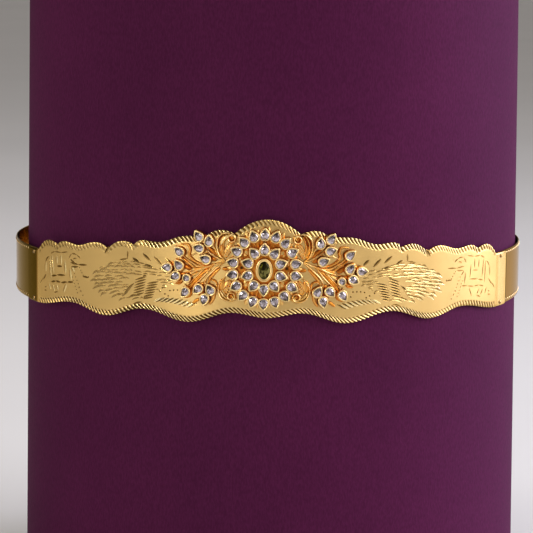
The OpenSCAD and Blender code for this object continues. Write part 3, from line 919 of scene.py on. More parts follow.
@dataclass
class FrontPlate:
    """The scalloped gold sheet with its fluted border and its engraving."""

    inner: float
    outer: float
    outline: PlateOutline
    shadow_spots: np.ndarray
    flute_pitch: float = 2.0
    fine_pitch: float = 1.65
    widening: float = 0.1
    flute_profile: tuple[float, ...] = (1.0, 0.75, 0.3, 0.0, 0.0, 0.55)
    flute_depth: float = 0.36
    border: float = 2.5
    top_lean: float = 1.8
    low_lean: float = 3.1
    field_rows: int = 62
    spot_r: float = 0.8
    edge_round: float = 0.16
    border_rows: tuple[float, ...] = (0.0, 0.06, 0.35, 0.65, 0.9, 1.02, 1.14)
    fine_from: tuple[float, float] = (58.0, 68.0)
    fine_to: tuple[float, float] = (90.0, 102.0)
    left_upright: Point = (0.35, 60.0, 75.0)
    right_upright: Point = (0.6, 70.0, 95.0)
    crown_wear: float = 0.35
    crown_half: float = 9.0
    left_wear: Point = (0.6, 52.0, 60.0)
    notch: float = 75.6
    notch_half: float = 1.3
    right_wear: Point = (0.6, 70.0, 86.0)
    end_depth: Point = (0.4, 96.0, 108.0)
    # Painted shade in the flutes, a painted shadow round the flower's gaps, a painted dark reflection on the left tab,
    # a painted highlight on the right tab and a painted shadow line at each tab's end
    groove_shade: float = 0.78
    spot_shade: float = 0.98
    left_tab_dark_reflection: Point = (0.96, 0.5, 3.5)
    right_tab_highlight: Point = (0.9, 0.0, 3.0)
    tab_end: float = 1.1
    tab_end_shadow: float = 0.03
    border_polish: float = 0.6

    def _grid(self) -> tuple[np.ndarray, np.ndarray, np.ndarray, np.ndarray, np.ndarray]:
        """Places of the front face's points.

        Columns stand a few to a flute. With x the share of the half length and w the widening, a flute is as wide as
        the pitch times 1 - w + 3 w x squared, and narrows to the fine pitch on the third scallop on the right: the
        columns stand at even steps of the sum of 1 / width. Inside the borders each column leans along the flutes, by
        the lean times the share of the border's width that is left to the edge, and less towards the lower ends.

        Returns:
            Lengths along the curve, heights, distances from the lower and upper edge, and the flutes' depth.
        """
        samples = len(self.flute_profile)
        share = np.linspace(-1, 1, 2001)
        width = self.flute_pitch * (1 - self.widening + 3 * self.widening * share ** 2)
        place = self.outline.half * share
        fine = smoothstep(*self.fine_from, place)
        width = width + (self.fine_pitch - width) * fine * (1 - smoothstep(*self.fine_to, place))
        steps = (1 / width[1:] + 1 / width[:-1]) / 2 * np.diff(share) * self.outline.half
        total = np.concatenate([[0], np.cumsum(steps)])
        count = int(round(total[-1] * samples))
        base = self.outline.half * np.interp(np.linspace(0, total[-1], count + 1), total, share)
        flute = np.array(self.flute_profile)[np.arange(count + 1) % samples]
        near = np.array(self.border_rows) * self.border
        low, top = self.outline.low(base), self.outline.top(base)
        inner_rows = np.linspace(0, 1, self.field_rows + 2)[1:-1]
        reach = near[-1]
        height = np.concatenate([
            low[:, None] + near[None, :],
            (low + reach)[:, None] + (top - low - 2 * reach)[:, None] * inner_rows[None, :],
            top[:, None] - near[::-1][None, :]], axis=1)
        still = smoothstep(self.outline.half - 2, self.outline.scallop_half - 1, np.abs(base))
        from_low, from_top = height - low[:, None], top[:, None] - height
        upright = eased(self.left_upright, -base) + eased(self.right_upright, base)
        lean = self.low_lean * (1 - upright)[:, None] * np.clip(1 - from_low / self.border, 0, 1)
        lean = lean - self.top_lean * np.clip(1 - from_top / self.border, 0, 1)
        along = base[:, None] + lean * still[:, None]
        low, top = self.outline.low(along), self.outline.top(along)
        blend_low = np.clip(1 - from_low / reach, 0, 1)
        blend_top = np.clip(1 - from_top / reach, 0, 1)
        height = height + (low - self.outline.low(base)[:, None]) * blend_low
        height = height + (top - self.outline.top(base)[:, None]) * blend_top
        return along, height, height - low, top - height, flute[:, None] + 0 * height

    def _wear(self, along: np.ndarray, upper: np.ndarray) -> np.ndarray:
        """Depth left in the flutes: the upper border is worn towards its left end, at its crown and at the notches.

        Args:
            along: Lengths along the curve.
            upper: True for points of the upper border.

        Returns:
            Share of the full depth at each point.
        """
        crown = self.crown_wear * np.exp(-(along / self.crown_half) ** 2)
        top = 1 - eased(self.left_wear, -along) - crown
        top = top * (1 - np.exp(-((np.abs(along) - self.notch) / self.notch_half) ** 4))
        return np.where(upper, top, 1)

    def build(self, finish: Material) -> Piece:
        """Makes the sheet: a closed section of the front face and two back corners, carried along the curve.

        The relief is lower in the flutes and higher on their crests, less so where they are worn flat: painted shade
        in the flutes and painted highlight on the crests. It is low round the gaps of the flower, a painted shadow;
        low on the left tab, a painted dark reflection; low at both ends, a painted shadow line at each tab's end; and
        high on the right tab, a painted highlight.

        Args:
            finish: Gold of the sheet.

        Returns:
            The plate.
        """
        along, height, from_low, from_top, groove = self._grid()
        near, out = np.minimum(from_low, from_top), np.abs(along)
        end = self.outline.scallop_half
        reach = 1 - smoothstep(0.88 * self.border, 1.04 * self.border, near)
        reach = reach * (1 - smoothstep(end - 2, end + 0.5, out))
        soft = self._wear(along, from_top < from_low)
        flat = 1 - eased(self.right_wear, along) + eased(self.end_depth, along)
        lift = -self.flute_depth * groove * reach * soft * flat - self.edge_round * (near < 0.01)
        front = wrapped(along, height, self.outer + lift, self.outer)
        back = wrapped(along[:, [-1, 0]], height[:, [-1, 0]], self.inner, self.outer)
        # Painted highlight on the flutes' crests and painted shade in their grooves
        crest = (1 - FACE) * (1 - groove) ** 2 * soft * flat
        relief = FACE + reach * (crest - self.groove_shade * groove ** 0.8 * soft * (0.25 + 0.75 * flat))
        # Painted shadow on the sheet round each of the flower's two gaps
        for s, z in self.shadow_spots:
            near_shadow_spot = np.exp(-(np.hypot(along - s, height - z) / self.spot_r) ** 4)
            relief = relief * (1 - self.spot_shade * near_shadow_spot)
        # Painted dark reflection on the left tab
        relief = relief * (1 - eased(self.left_tab_dark_reflection, -along - end))
        # Painted highlight on the right tab
        relief = np.maximum(relief, eased(self.right_tab_highlight, along - end))
        # Painted shadow line at each tab's end
        relief = np.where(out > self.outline.half - self.tab_end, self.tab_end_shadow, relief)
        polish = np.maximum(smoothstep(end - 0.3, end + 0.3, out), self.border_polish * reach)
        plain = FACE * np.ones((len(relief), 2))
        shell = Shell()
        shell.grid(np.concatenate([front, back], axis=1), np.concatenate([relief, plain], axis=1),
                   np.concatenate([polish, plain], axis=1), caps=True)
        return dress(shell.build("scalloped_front_plate", 50), finish, Slot.GOLD_SHEET, "front_plate")


@dataclass
class Straps:
    """The two plain straps with a row of punched beads near each edge."""

    inner: float
    outer: float
    low: float
    top: float
    start: float
    end: float
    bead_first: float = 139.8
    bead_margin: float = 12.0
    bead_pitch: float = 3.1
    bead_r: float = 0.55
    bead_h: float = 0.25
    bead_inset: float = 1.3
    bead_rise: tuple[float, ...] = (100.0, 78.0, 50.0, 22.0)
    step: float = 1.2
    rounding: float = 0.2
    inside: float = 0.35
    # Painted dark reflection on the left strap and painted shadow just beyond the plate's tab
    left_dark_reflection: float = 0.08
    left_reflection_fade: Point = (0.92, 158.0, 196.0)
    lap_shadow: float = 0.3
    lap_shadow_fade: Point = (0.7, 137.8, 139.0)
    back_light: Point = (0.6, 186.0, 230.0)

    def _section(self) -> tuple[np.ndarray, np.ndarray]:
        """A strap's closed section, a flat bar with rounded edges.

        Returns:
            Radius and height of each of its points.
        """
        inner, outer, low, top, r = self.inner, self.outer - self.bead_h, self.low, self.top, self.rounding
        half = (outer - inner) / 2
        turn = np.radians(np.linspace(-90, 90, 5))
        cos, sin = np.cos(turn), np.sin(turn)
        rows = np.linspace(low + 4 * r, top - 4 * r, 3)
        radius = np.concatenate([inner + half + half * sin, np.full(3, outer), inner + half - half * sin,
                                 np.full(3, inner)])
        height = np.concatenate([low + half - half * cos, rows, top - half + half * cos, rows[::-1]])
        return radius, height

    def _beads(self, side: Side) -> np.ndarray:
        """Domes in two rows along a strap.

        Args:
            side: Side of the belt.

        Returns:
            Points of all the beads, one grid each.
        """
        places = np.arange(self.bead_first, self.end - self.bead_margin, self.bead_pitch)
        heights = np.array([self.low + self.bead_inset, self.top - self.bead_inset])
        s, z = (g.reshape(-1, 1, 1) for g in np.meshgrid(places, heights))
        ds, dz, up = dome(self.bead_r, self.bead_rise, 8)
        return wrapped(side.value * (s + ds), z + dz, self.outer - self.bead_h + self.bead_h * up, self.outer)

    def build(self, side: Side, finish: Material) -> Piece:
        """Makes one strap, its section carried round the loop and its beads standing on it.

        The relief is lower inside the loop; lower beside the plate's tab, a painted shadow of the tab's end; lower on
        the left, a painted dark reflection; and higher at the back.

        Args:
            side: Side of the belt.
            finish: Gold of the straps.

        Returns:
            The strap.
        """
        radius, height = self._section()
        along = side.value * np.linspace(self.start, self.end, int((self.end - self.start) / self.step))[:, None]
        relief = np.where(radius < (self.inner + self.outer) / 2, self.inside, FACE)[None, :] + 0 * along
        if side is Side.LEFT:
            # Painted dark reflection along the left strap, fading towards the back
            relief = relief * (self.left_dark_reflection + eased(self.left_reflection_fade, -along))
        # Painted shadow on the strap just beyond the plate's tab
        relief = relief * (self.lap_shadow + eased(self.lap_shadow_fade, np.abs(along)))
        relief = relief + self.back_light[0] * (1 - relief) * smoothstep(*self.back_light[1:], np.abs(along))
        shell = Shell()
        shell.grid(wrapped(along, height[None, :], radius[None, :], self.outer), relief, 1.0, caps=True)
        shell.grid(self._beads(side), 1.0, 1.0, caps=True)
        name = side.name.lower()
        return dress(shell.build(f"{name}_beaded_strap"), finish, Slot.GOLD_STRAP, f"{name}_strap")


@dataclass
class BackClasp:
    """The plain sleeve that holds the two strap ends at the back."""

    low: Point
    high: Point
    length: float = 18.0
    wall: float = 0.8
    hollow: float = 1.1
    rounding: float = 0.5
    inner_rounding: float = 0.05
    end_bevel: float = 0.12
    middle_r: float = 120.0
    steps: int = 40

    def _loop(self, inset: float, rounding: float) -> np.ndarray:
        """A rounded rectangle of radius and height: four quarter circles joined by straight lines.

        Args:
            inset: Distance inwards from the sleeve's outside.
            rounding: Radius of the corners.

        Returns:
            Radius and height of each point.
        """
        inner = self.high[1] - 2 * self.wall - self.hollow + inset
        outer, low, top = self.high[1] - inset, self.low[2] + inset, self.high[2] - inset
        quarter = np.radians(np.linspace(0, 90, 5))
        ring = []
        for x, z, start in ((outer, top, 0), (inner, top, 90), (inner, low, 180), (outer, low, 270)):
            sx, sz = (1 if x == outer else -1), (1 if z == top else -1)
            a = quarter + math.radians(start)
            ring.append(np.stack([x - sx * rounding + rounding * np.cos(a),
                                  z - sz * rounding + rounding * np.sin(a)], axis=-1))
        return np.concatenate(ring)

    def build(self, finish: Material) -> Piece:
        """Makes the sleeve: the outer rectangle carried round, back through the inner one, and joined at both ends.

        Args:
            finish: Gold of the straps.

        Returns:
            The sleeve.
        """
        half = self.length / 2
        outer, inner = self._loop(0, self.rounding), self._loop(self.wall, self.inner_rounding)
        there = np.concatenate([[-half, -half + 0.05], np.linspace(-half + 0.4, half - 0.4, self.steps),
                                [half - 0.05, half]])
        bevel = np.where(np.abs(np.abs(there) - half) < 0.01, self.end_bevel, 0.0)
        middle = outer.mean(axis=0)
        out = middle + (outer - middle)[None] * (1 - bevel[:, None, None] * [0.2, 0.02])
        ring = np.concatenate([out, np.repeat(inner[None], 2, axis=0)])
        along = np.concatenate([there, [half, -half]])[:, None]
        shell = Shell()
        shell.grid(wrapped(math.pi * self.middle_r - along, ring[..., 1], ring[..., 0], self.middle_r), FACE, 0.8,
                   closed_rows=True)
        return dress(shell.build("back_clasp_sleeve"), finish, Slot.GOLD_STRAP, "back_clasp")


@dataclass(frozen=True)
class Levels:
    """Heights of the ornament's parts above its foot, and the sizes of its stones."""

    foot_r: float
    base: float = 0.6
    seat: float = 0.7
    tier: float = 0.9
    middle: float = 1.0
    culet: float = 0.15
    pavilion: float = 0.34
    lip: float = 0.25
    stone_gap: float = 0.1

    def girdle(self, width: float) -> float:
        """Height of a stone's girdle above the floor of its setting."""
        return self.culet + self.pavilion * width


@dataclass(frozen=True)
class OrnamentPlace:
    """The ornament's own frame on the front plate: a shift along the curve and a small turn."""

    face_r: float
    foot_r: float
    middle_z: float
    shift: float = -1.4
    turn: float = 0.7

    def matrix(self, side: Side) -> np.ndarray:
        """From the ornament's frame to the belt's; the left side is mirrored first."""
        at = turn_z(math.degrees(self.shift / self.face_r)) @ shift(0, 0, self.middle_z)
        return at @ turn_y(self.turn) @ np.diag([side.value, 1.0, 1.0, 1.0])

    def laid(self, across: np.ndarray, up: np.ndarray, lift: np.ndarray, side: Side = Side.RIGHT) -> np.ndarray:
        """Points that follow the curve, at a lift above the ornament's foot."""
        return placed(self.matrix(side), wrapped(across, up, self.foot_r + lift, self.face_r))

    def seat(self, across: float, up: float, lift: float, tip: float, side: Side = Side.RIGHT) -> np.ndarray:
        """Matrix of a flat seat: its second axis points along the tip and its third outwards.

        Args:
            across: Length along the curve from the ornament's middle.
            up: Height above it.
            lift: Distance outwards from the ornament's foot.
            tip: Direction of the tip, turned upwards from the right.
            side: Side of the ornament.

        Returns:
            The matrix from the seat's frame to the belt's.
        """
        stand = np.array([[1, 0, 0, 0], [0, 0, -1, 0], [0, 1, 0, 0], [0, 0, 0, 1]], float)
        at = turn_z(math.degrees(across / self.face_r)) @ shift(0, -(self.foot_r + lift), up)
        return self.matrix(side) @ at @ stand @ turn_z(tip - 90)


@dataclass(frozen=True)
class Setting:
    """A stone's place: its size, form, seat lift and the direction of its tip."""

    across: float
    up: float
    tip: float
    width: float
    length: float
    form: StoneForm
    lift: float
    wall: float = 0.45
    skirt: float = 0.6


def stone_outline(width: float, length: float, form: StoneForm, count: int) -> np.ndarray:
    """A drop with its tip up, or an oval: x = w/2 sin t times (sin t/2)^0.8 over 0.803 for a drop, y = l/2 cos t.

    Args:
        width: Its full width.
        length: Its full length.
        form: Drop or oval.
        count: Number of points.

    Returns:
        The points, clockwise from the tip.
    """
    t = ring_angles(count)
    belly = np.sin(t / 2) ** 0.8 / 0.803 if form is StoneForm.DROP else 1.0
    return np.stack([width / 2 * np.sin(t) * belly, length / 2 * np.cos(t)], axis=-1)


def outward(line: np.ndarray) -> np.ndarray:
    """Unit normals of a closed clockwise line, each square to the chord between its neighbours.

    Args:
        line: Points of the line.

    Returns:
        A normal for each point, outwards.
    """
    chord = np.roll(line, -1, axis=0) - np.roll(line, 1, axis=0)
    chord /= np.linalg.norm(chord, axis=1, keepdims=True)
    return np.stack([-chord[:, 1], chord[:, 0]], axis=-1)


def smooth_line(points: Path, steps: int) -> np.ndarray:
    """A cubic through each four neighbouring points.

    Args:
        points: Places that the line passes.
        steps: Steps between two of them.

    Returns:
        Points of the line, with the last place at its end.
    """
    padded = np.array((points[0], *points, points[-1]))
    a, b, c, d = (padded[i:len(padded) - 3 + i][:, None] for i in range(4))
    t = (np.arange(steps) / steps)[None, :, None]
    curve = 0.5 * (2 * b + (c - a) * t + (2 * a - 5 * b + 4 * c - d) * t ** 2 + (3 * b - a - 3 * c + d) * t ** 3)
    return np.concatenate([curve.reshape(-1, 2), padded[-1:]])


def side_normals(line: np.ndarray) -> np.ndarray:
    """Unit normals of an open line, by its local slope.

    Args:
        line: Points of the line.

    Returns:
        A normal for each point, to the left.
    """
    along = np.gradient(line, axis=0)
    along /= np.linalg.norm(along, axis=1, keepdims=True)
    return np.stack([-along[:, 1], along[:, 0]], axis=-1)


@dataclass
class Casting:
    """Raised gold work of the ornament: settings, vines, webs and scrolls gathered in one shell."""

    place: OrnamentPlace
    levels: Levels
    side: Side = Side.RIGHT
    shell: Shell = field(default_factory=Shell)
    around: int = 40
    vine_section: int = 12
    tip_growth: float = 0.25
    tip_angle: float = 0.3
    floor_margin: float = 0.1
    polish: float = 0.7
    grain_rise: tuple[float, ...] = (170.0, 120.0, 90.0, 60.0, 30.0)

    def bezel(self, s: Setting) -> None:
        """A rounded rim round a stone: a closed section of offset and height, carried along the outline.

        The offset grows near a drop's tip, by the growth times exp(-(t / the tip's angle) squared). An oval with a
        broad wall has a furrow round it.

        Args:
            s: The stone's place.
        """
        girdle = self.levels.girdle(s.width)
        gap, out = self.levels.stone_gap, self.levels.stone_gap + s.wall
        over = min(0.06, 0.1 * s.wall)
        section = np.array([
            (gap, 0.0), (gap, girdle + 0.18), (-over, girdle + 0.26), (-over + 0.02, girdle + 0.36),
            (0.35 * out, girdle + 0.45), (0.65 * out, girdle + 0.44), (0.95 * out, girdle + 0.3),
            (out + 0.03, girdle + 0.05), (out + 0.04, 0.45 * girdle), (out + 0.06, 0.0),
            (out + 0.14, -0.6 * s.skirt), (out + 0.18, -s.skirt), (gap, -s.skirt)])
        if s.form is StoneForm.OVAL and s.wall > 0.8:
            section = np.insert(section, 5, [(0.5 * out, girdle + 0.26), (0.62 * out, girdle + 0.28)], axis=0)
        line, t = stone_outline(s.width, s.length, s.form, self.around), ring_angles(self.around)
        tip = np.exp(-(np.minimum(t, FULL_TURN - t) / self.tip_angle) ** 2)
        growth = 1 + (self.tip_growth if s.form is StoneForm.DROP else 0.0) * tip[:, None, None]
        reach = np.maximum(section[None, :, :1], 0) * growth + np.minimum(section[None, :, :1], 0)
        flat = line[:, None, :] + outward(line)[:, None, :] * reach
        points = np.concatenate([flat, np.broadcast_to(section[None, :, 1:], (*flat.shape[:2], 1))], axis=-1)
        # Darker down the setting's wall, painted shade low between the parts, and palest on the rim's crest, a painted
        # highlight
        relief = np.interp(section[:, 1], [-0.3, 0.3 * girdle, girdle + 0.1, girdle + 0.4], [0.0, 0.35, 0.8, 1.0])
        matrix = self.place.seat(s.across, s.up, s.lift, s.tip, self.side)
        self.shell.grid(placed(matrix, points), relief, self.polish, closed_rows=True)

    def floor(self, s: Setting) -> None:
        """The closed bottom of a setting under its stone, a flat disc of the stone's outline.

        Args:
            s: The stone's place.
        """
        line = stone_outline(s.width, s.length, s.form, 24)
        line = line * (1 + 2 * (self.levels.stone_gap + self.floor_margin) / s.width)
        matrix = self.place.seat(s.across, s.up, s.lift, s.tip, self.side)
        self.shell.grid(placed(matrix, np.stack([at_height(line, h) for h in (-0.12, -0.02)])), 0.6, 0.9, caps=True)

    def ridge(self, line: np.ndarray, width: np.ndarray, height: np.ndarray, tone: float, foot: float = 0.0,
              flank: float = 0.3) -> None:
        """A rounded ridge along a line of places.

        The section is a dome: across is half the width times cos(a), and lift is the foot plus the height times
        sin(a) to the power 0.8 above, with a thin flat underside.

        Args:
            line: Places, across and up from the ornament's middle.
            width: Full width at each place.
            height: Height at each place.
            tone: Relief value of the crest.
            foot: Lift of the underside.
            flank: Relief of the flanks, as a share of the crest's.
        """
        a = ring_angles(self.vine_section)
        rise = np.where(np.sin(a) >= 0, np.abs(np.sin(a)) ** 0.8, 0.06 * np.sin(a))
        flat = line[:, None] + side_normals(line)[:, None] * (width / 2)[:, None, None] * np.cos(a)[None, :, None]
        points = self.place.laid(flat[..., 0], flat[..., 1], foot + height[:, None] * rise[None, :], self.side)
        # Crest paler than the flanks: painted highlight along the crest and painted shade down its sides
        self.shell.grid(points, tone * (flank + (1 - flank) * np.clip(rise, 0, 1)), self.polish, caps=True)

    def tablet(self, across: float, up: float, width: float, length: float, lift: float, tone: float) -> None:
        """A flat satin tablet: a rounded rectangle, cos and sin to the power 0.6, with a bevelled top.

        Args:
            across: Place of its middle across the ornament.
            up: Height of its middle.
            width: Its full width.
            length: Its full height.
            lift: Lift of its foot.
            tone: Its relief value.
        """
        t = ring_angles(20)
        du = width / 2 * np.sign(np.cos(t)) * np.abs(np.cos(t)) ** 0.6
        dv = length / 2 * np.sign(np.sin(t)) * np.abs(np.sin(t)) ** 0.6
        share, rise = np.array([[1.0], [1.0], [0.88]]), np.array([[-0.1], [0.18], [0.26]])
        points = self.place.laid(across + du * share, up + dv * share, lift + rise + 0 * du, self.side)
        self.shell.grid(points, tone, 0.1, caps=True)

    def granule(self, across: float, up: float, radius: float, lift: float, tone: float) -> None:
        """A small grain: half of a ball on a short foot.

        Args:
            across: Place of its middle across the ornament.
            up: Height of its middle.
            radius: Radius of the ball.
            lift: Lift of the ball's middle.
            tone: Its relief value.
        """
        du, dv, share = dome(radius, self.grain_rise, 8)
        points = self.place.laid(across + du, up + dv, lift + radius * share, self.side)
        self.shell.grid(points, tone, 0.6, caps=True)


@dataclass
class Flower:
    """The two-tier flower: an openwork base, two rings of set drops and the middle setting."""

    place: OrnamentPlace
    levels: Levels
    outer_count: int = 18
    outer_w: float = 28.1
    outer_h: float = 30.3
    inner_count: int = 10
    inner_w: float = 15.2
    inner_h: float = 17.6
    drop_w: float = 3.8
    drop_l: float = 4.6
    middle_w: float = 5.1
    middle_l: float = 7.9
    middle_wall: float = 1.0
    base_margin: float = 1.2
    tier_margin: float = 2.4
    around: int = 216
    furrow: float = 0.16
    furrow_shade: float = 2.2
    strut_w: float = 0.42
    strut_h: float = 0.55
    pierced: Point = (9.9, 0.4, 0.65)
    lobes: tuple[Point, ...] = (
        (6, 1.9, 1.2), (30, 1.8, 1.4), (-30, 1.9, 1.5), (50, 0.8, 1), (-49, 1, 1.2), (150, 1.4, 1.4),
        (209, 1.4, 1.4), (129, 1, 1), (231, 1, 1), (171, 0.9, 0.9), (190, 0.9, 0.9),
        (-11, 0.8, 0.8), (90, 1.6, 1.5), (270, 1.4, 1.5), (70, 0.3, 0.7), (110, 0.3, 0.7))
    panes: tuple[tuple[float, float, float, float, float], ...] = (
        (7.8, 6.6, 2, 2.6, 0.8), (7.7, -6.5, 2.1, 2.6, 0.8), (-8.1, 6.6, 2.1, 2.5, 0.8), (-7.9, -6.3, 2, 2.8, 0.8),
        (10.6, 3.3, 0.8, 3.2, 0.85), (10.6, -2.7, 0.8, 3.2, 0.85), (-10.7, -3.4, 0.8, 2.4, 0.8),
        (-10.6, 3.7, 0.8, 2.2, 0.8))

    def _ring(self, count: int, width: float, height: float, lift: float, skirt: float) -> list[Setting]:
        """Settings spaced evenly in angle round an ellipse, their tips square to it.

        Args:
            count: Number of settings.
            width: Full width of the ellipse.
            height: Full height of the ellipse.
            lift: Lift of the stones' seats.
            skirt: Depth of the cups' walls below the seats.

        Returns:
            The settings, clockwise from the top.
        """
        found = []
        for turn in ring_angles(count):
            x, y = on_ellipse(width, height, turn)
            tip = math.degrees(math.atan2(y / height ** 2, x / width ** 2))
            found.append(Setting(x, y, tip, self.drop_w, self.drop_l, StoneForm.DROP, lift, skirt=skirt))
        return found

    def outer(self) -> list[Setting]:
        """Settings of the outer ring."""
        return self._ring(self.outer_count, self.outer_w, self.outer_h, self.levels.seat, 0.5)

    def inner(self) -> list[Setting]:
        """Settings of the inner ring, on the higher tier."""
        lift = self.levels.seat + self.levels.tier
        return self._ring(self.inner_count, self.inner_w, self.inner_h, lift, self.levels.tier + 0.4)

    def middle(self) -> Setting:
        """The oval setting in the middle."""
        step = self.levels.pavilion * (self.middle_w - self.drop_w)
        lift = self.levels.seat + self.levels.tier + self.levels.middle - step
        return Setting(0, 0, 90, self.middle_w, self.middle_l, StoneForm.OVAL, lift, self.middle_wall, 1.2)

    def _disc(self, width: float, height: float, low: float, high: float, grooves: int, tone: float) -> Shell:
        """A low plate on an ellipse: rings of shares of its size, with radial furrows on its top.

        Args:
            width: Full width of the ellipse.
            height: Full height of the ellipse.
            low: Lift of the underside.
            high: Lift of the top.
            grooves: Number of furrows.
            tone: Relief value of the top.

        Returns:
            A shell that holds the plate.
        """
        shell = Shell()
        share = np.array([0.1, 0.4, 0.7, 0.9, 1.0, 1.0, 0.985, 0.95, 0.85, 0.75, 0.65, 0.5, 0.35, 0.1])
        lift = np.array([low] * 5 + [high - 0.12, high - 0.02] + [high] * 7)
        t = ring_angles(self.around)
        furrow = self.furrow * (0.5 + 0.5 * np.cos(grooves * t))[None, :] * smoothstep(0.5, 0.75, share)[:, None]
        furrow[:6] = 0
        across = width / 2 * share[:, None] * np.sin(t)[None, :]
        up = height / 2 * share[:, None] * np.cos(t)[None, :]
        level = lift[:, None] - furrow
        shell.grid(self.place.laid(across, up, level), tone * (1 - self.furrow_shade * furrow), 0.5, caps=True)
        return shell

    def _pierce(self, piece: Piece) -> None:
        """Cuts the two round gaps through the base, straight outwards.

        Args:
            piece: The base.
        """
        u, v, r = self.pierced
        cutter, t = Shell(), ring_angles(20)
        ring = r * np.stack([np.sin(t), np.cos(t)], axis=-1)
        rod = np.stack([at_height(ring, h) for h in (-2.0, 4.0)])
        for at in (-u, u):
            cutter.grid(placed(self.place.seat(at, v, 0, 90), rod), caps=True)
        tool = cutter.build("gap_cutter")
        modifier = piece.modifiers.new("gaps", "BOOLEAN")
        modifier.operation, modifier.object, modifier.solver = "DIFFERENCE", tool, "EXACT"
        evaluated = piece.evaluated_get(bpy.context.evaluated_depsgraph_get())
        mesh = bpy.data.meshes.new_from_object(evaluated)
        piece.modifiers.clear()
        piece.data = mesh
        bpy.data.objects.remove(tool)

    def build(self, finish: Material) -> Piece:
        """Makes the base with its gaps, then the rims, struts and lobes, and joins them.

        Args:
            finish: Gold of the castings.

        Returns:
            The flower's casting.
        """
        base_w, base_h = self.outer_w + self.base_margin, self.outer_h + self.base_margin
        # The low base is dark and the tier a little lighter: antique darkening and painted shade in the recess round
        # the stones
        base = self._disc(base_w, base_h, 0.0, self.levels.base, 36, 0.3).build("flower_base")
        self._pierce(base)
        tier_w, tier_h = self.inner_w + self.tier_margin, self.inner_h + self.tier_margin
        tier_top = self.levels.base + self.levels.tier
        tier = self._disc(tier_w, tier_h, self.levels.base - 0.2, tier_top, 20, 0.36)
        work = Casting(self.place, self.levels, shell=tier)
        for setting in [*self.outer(), *self.inner(), self.middle()]:
            work.bezel(setting)
            work.floor(setting)
        self._struts(work)
        self._lobes(work)
        for across, up, width, length, tone in self.panes:
            work.tablet(across, up, width, length, self.levels.base, tone)
        both = [base, tier.build("flower_rims")]
        with bpy.context.temp_override(active_object=base, object=base, selected_objects=both,
                                       selected_editable_objects=both):
            bpy.ops.object.join()
        base.name = "flower_casting"
        base.data.shade_smooth()
        base.data.set_sharp_from_angle(angle=math.radians(40))
        return dress(base, finish, Slot.GOLD_CASTING, "flower_setting")

    def _struts(self, work: Casting) -> None:
        """Adds thin bars from the tier's foot to the outer settings, two to each stone, none across the gaps.

        Args:
            work: Casting that takes them.
        """
        share = np.linspace(0, 1, 5)[:, None]
        for i in range(2 * self.outer_count):
            turn = FULL_TURN * (i + 0.5) / (2 * self.outer_count)
            if abs(math.sin(turn)) < 0.99:
                inner = on_ellipse(self.inner_w + 1.0, self.inner_h + 1.0, turn)
                outer = on_ellipse(self.outer_w - 1.0, self.outer_h - 1.0, turn)
                work.ridge(inner + (outer - inner) * share, np.full(5, self.strut_w), np.full(5, self.strut_h),
                           0.55, self.levels.base - 0.1)

    def _lobes(self, work: Casting) -> None:
        """Adds small leaf tips that show between the outer stones.

        Args:
            work: Casting that takes them.
        """
        for angle, length, width in self.lobes:
            middle = on_ellipse(self.outer_w, self.outer_h, math.radians(angle))
            direction = middle / np.linalg.norm(middle)
            line = middle + direction * np.linspace(0.2, 1.4 + length, 6)[:, None]
            taper = np.array([1.0, 1.0, 0.95, 0.8, 0.55, 0.15])
            work.ridge(line, width * taper * 1.6, 0.5 + 0.5 * taper, 0.78, flank=0.75)


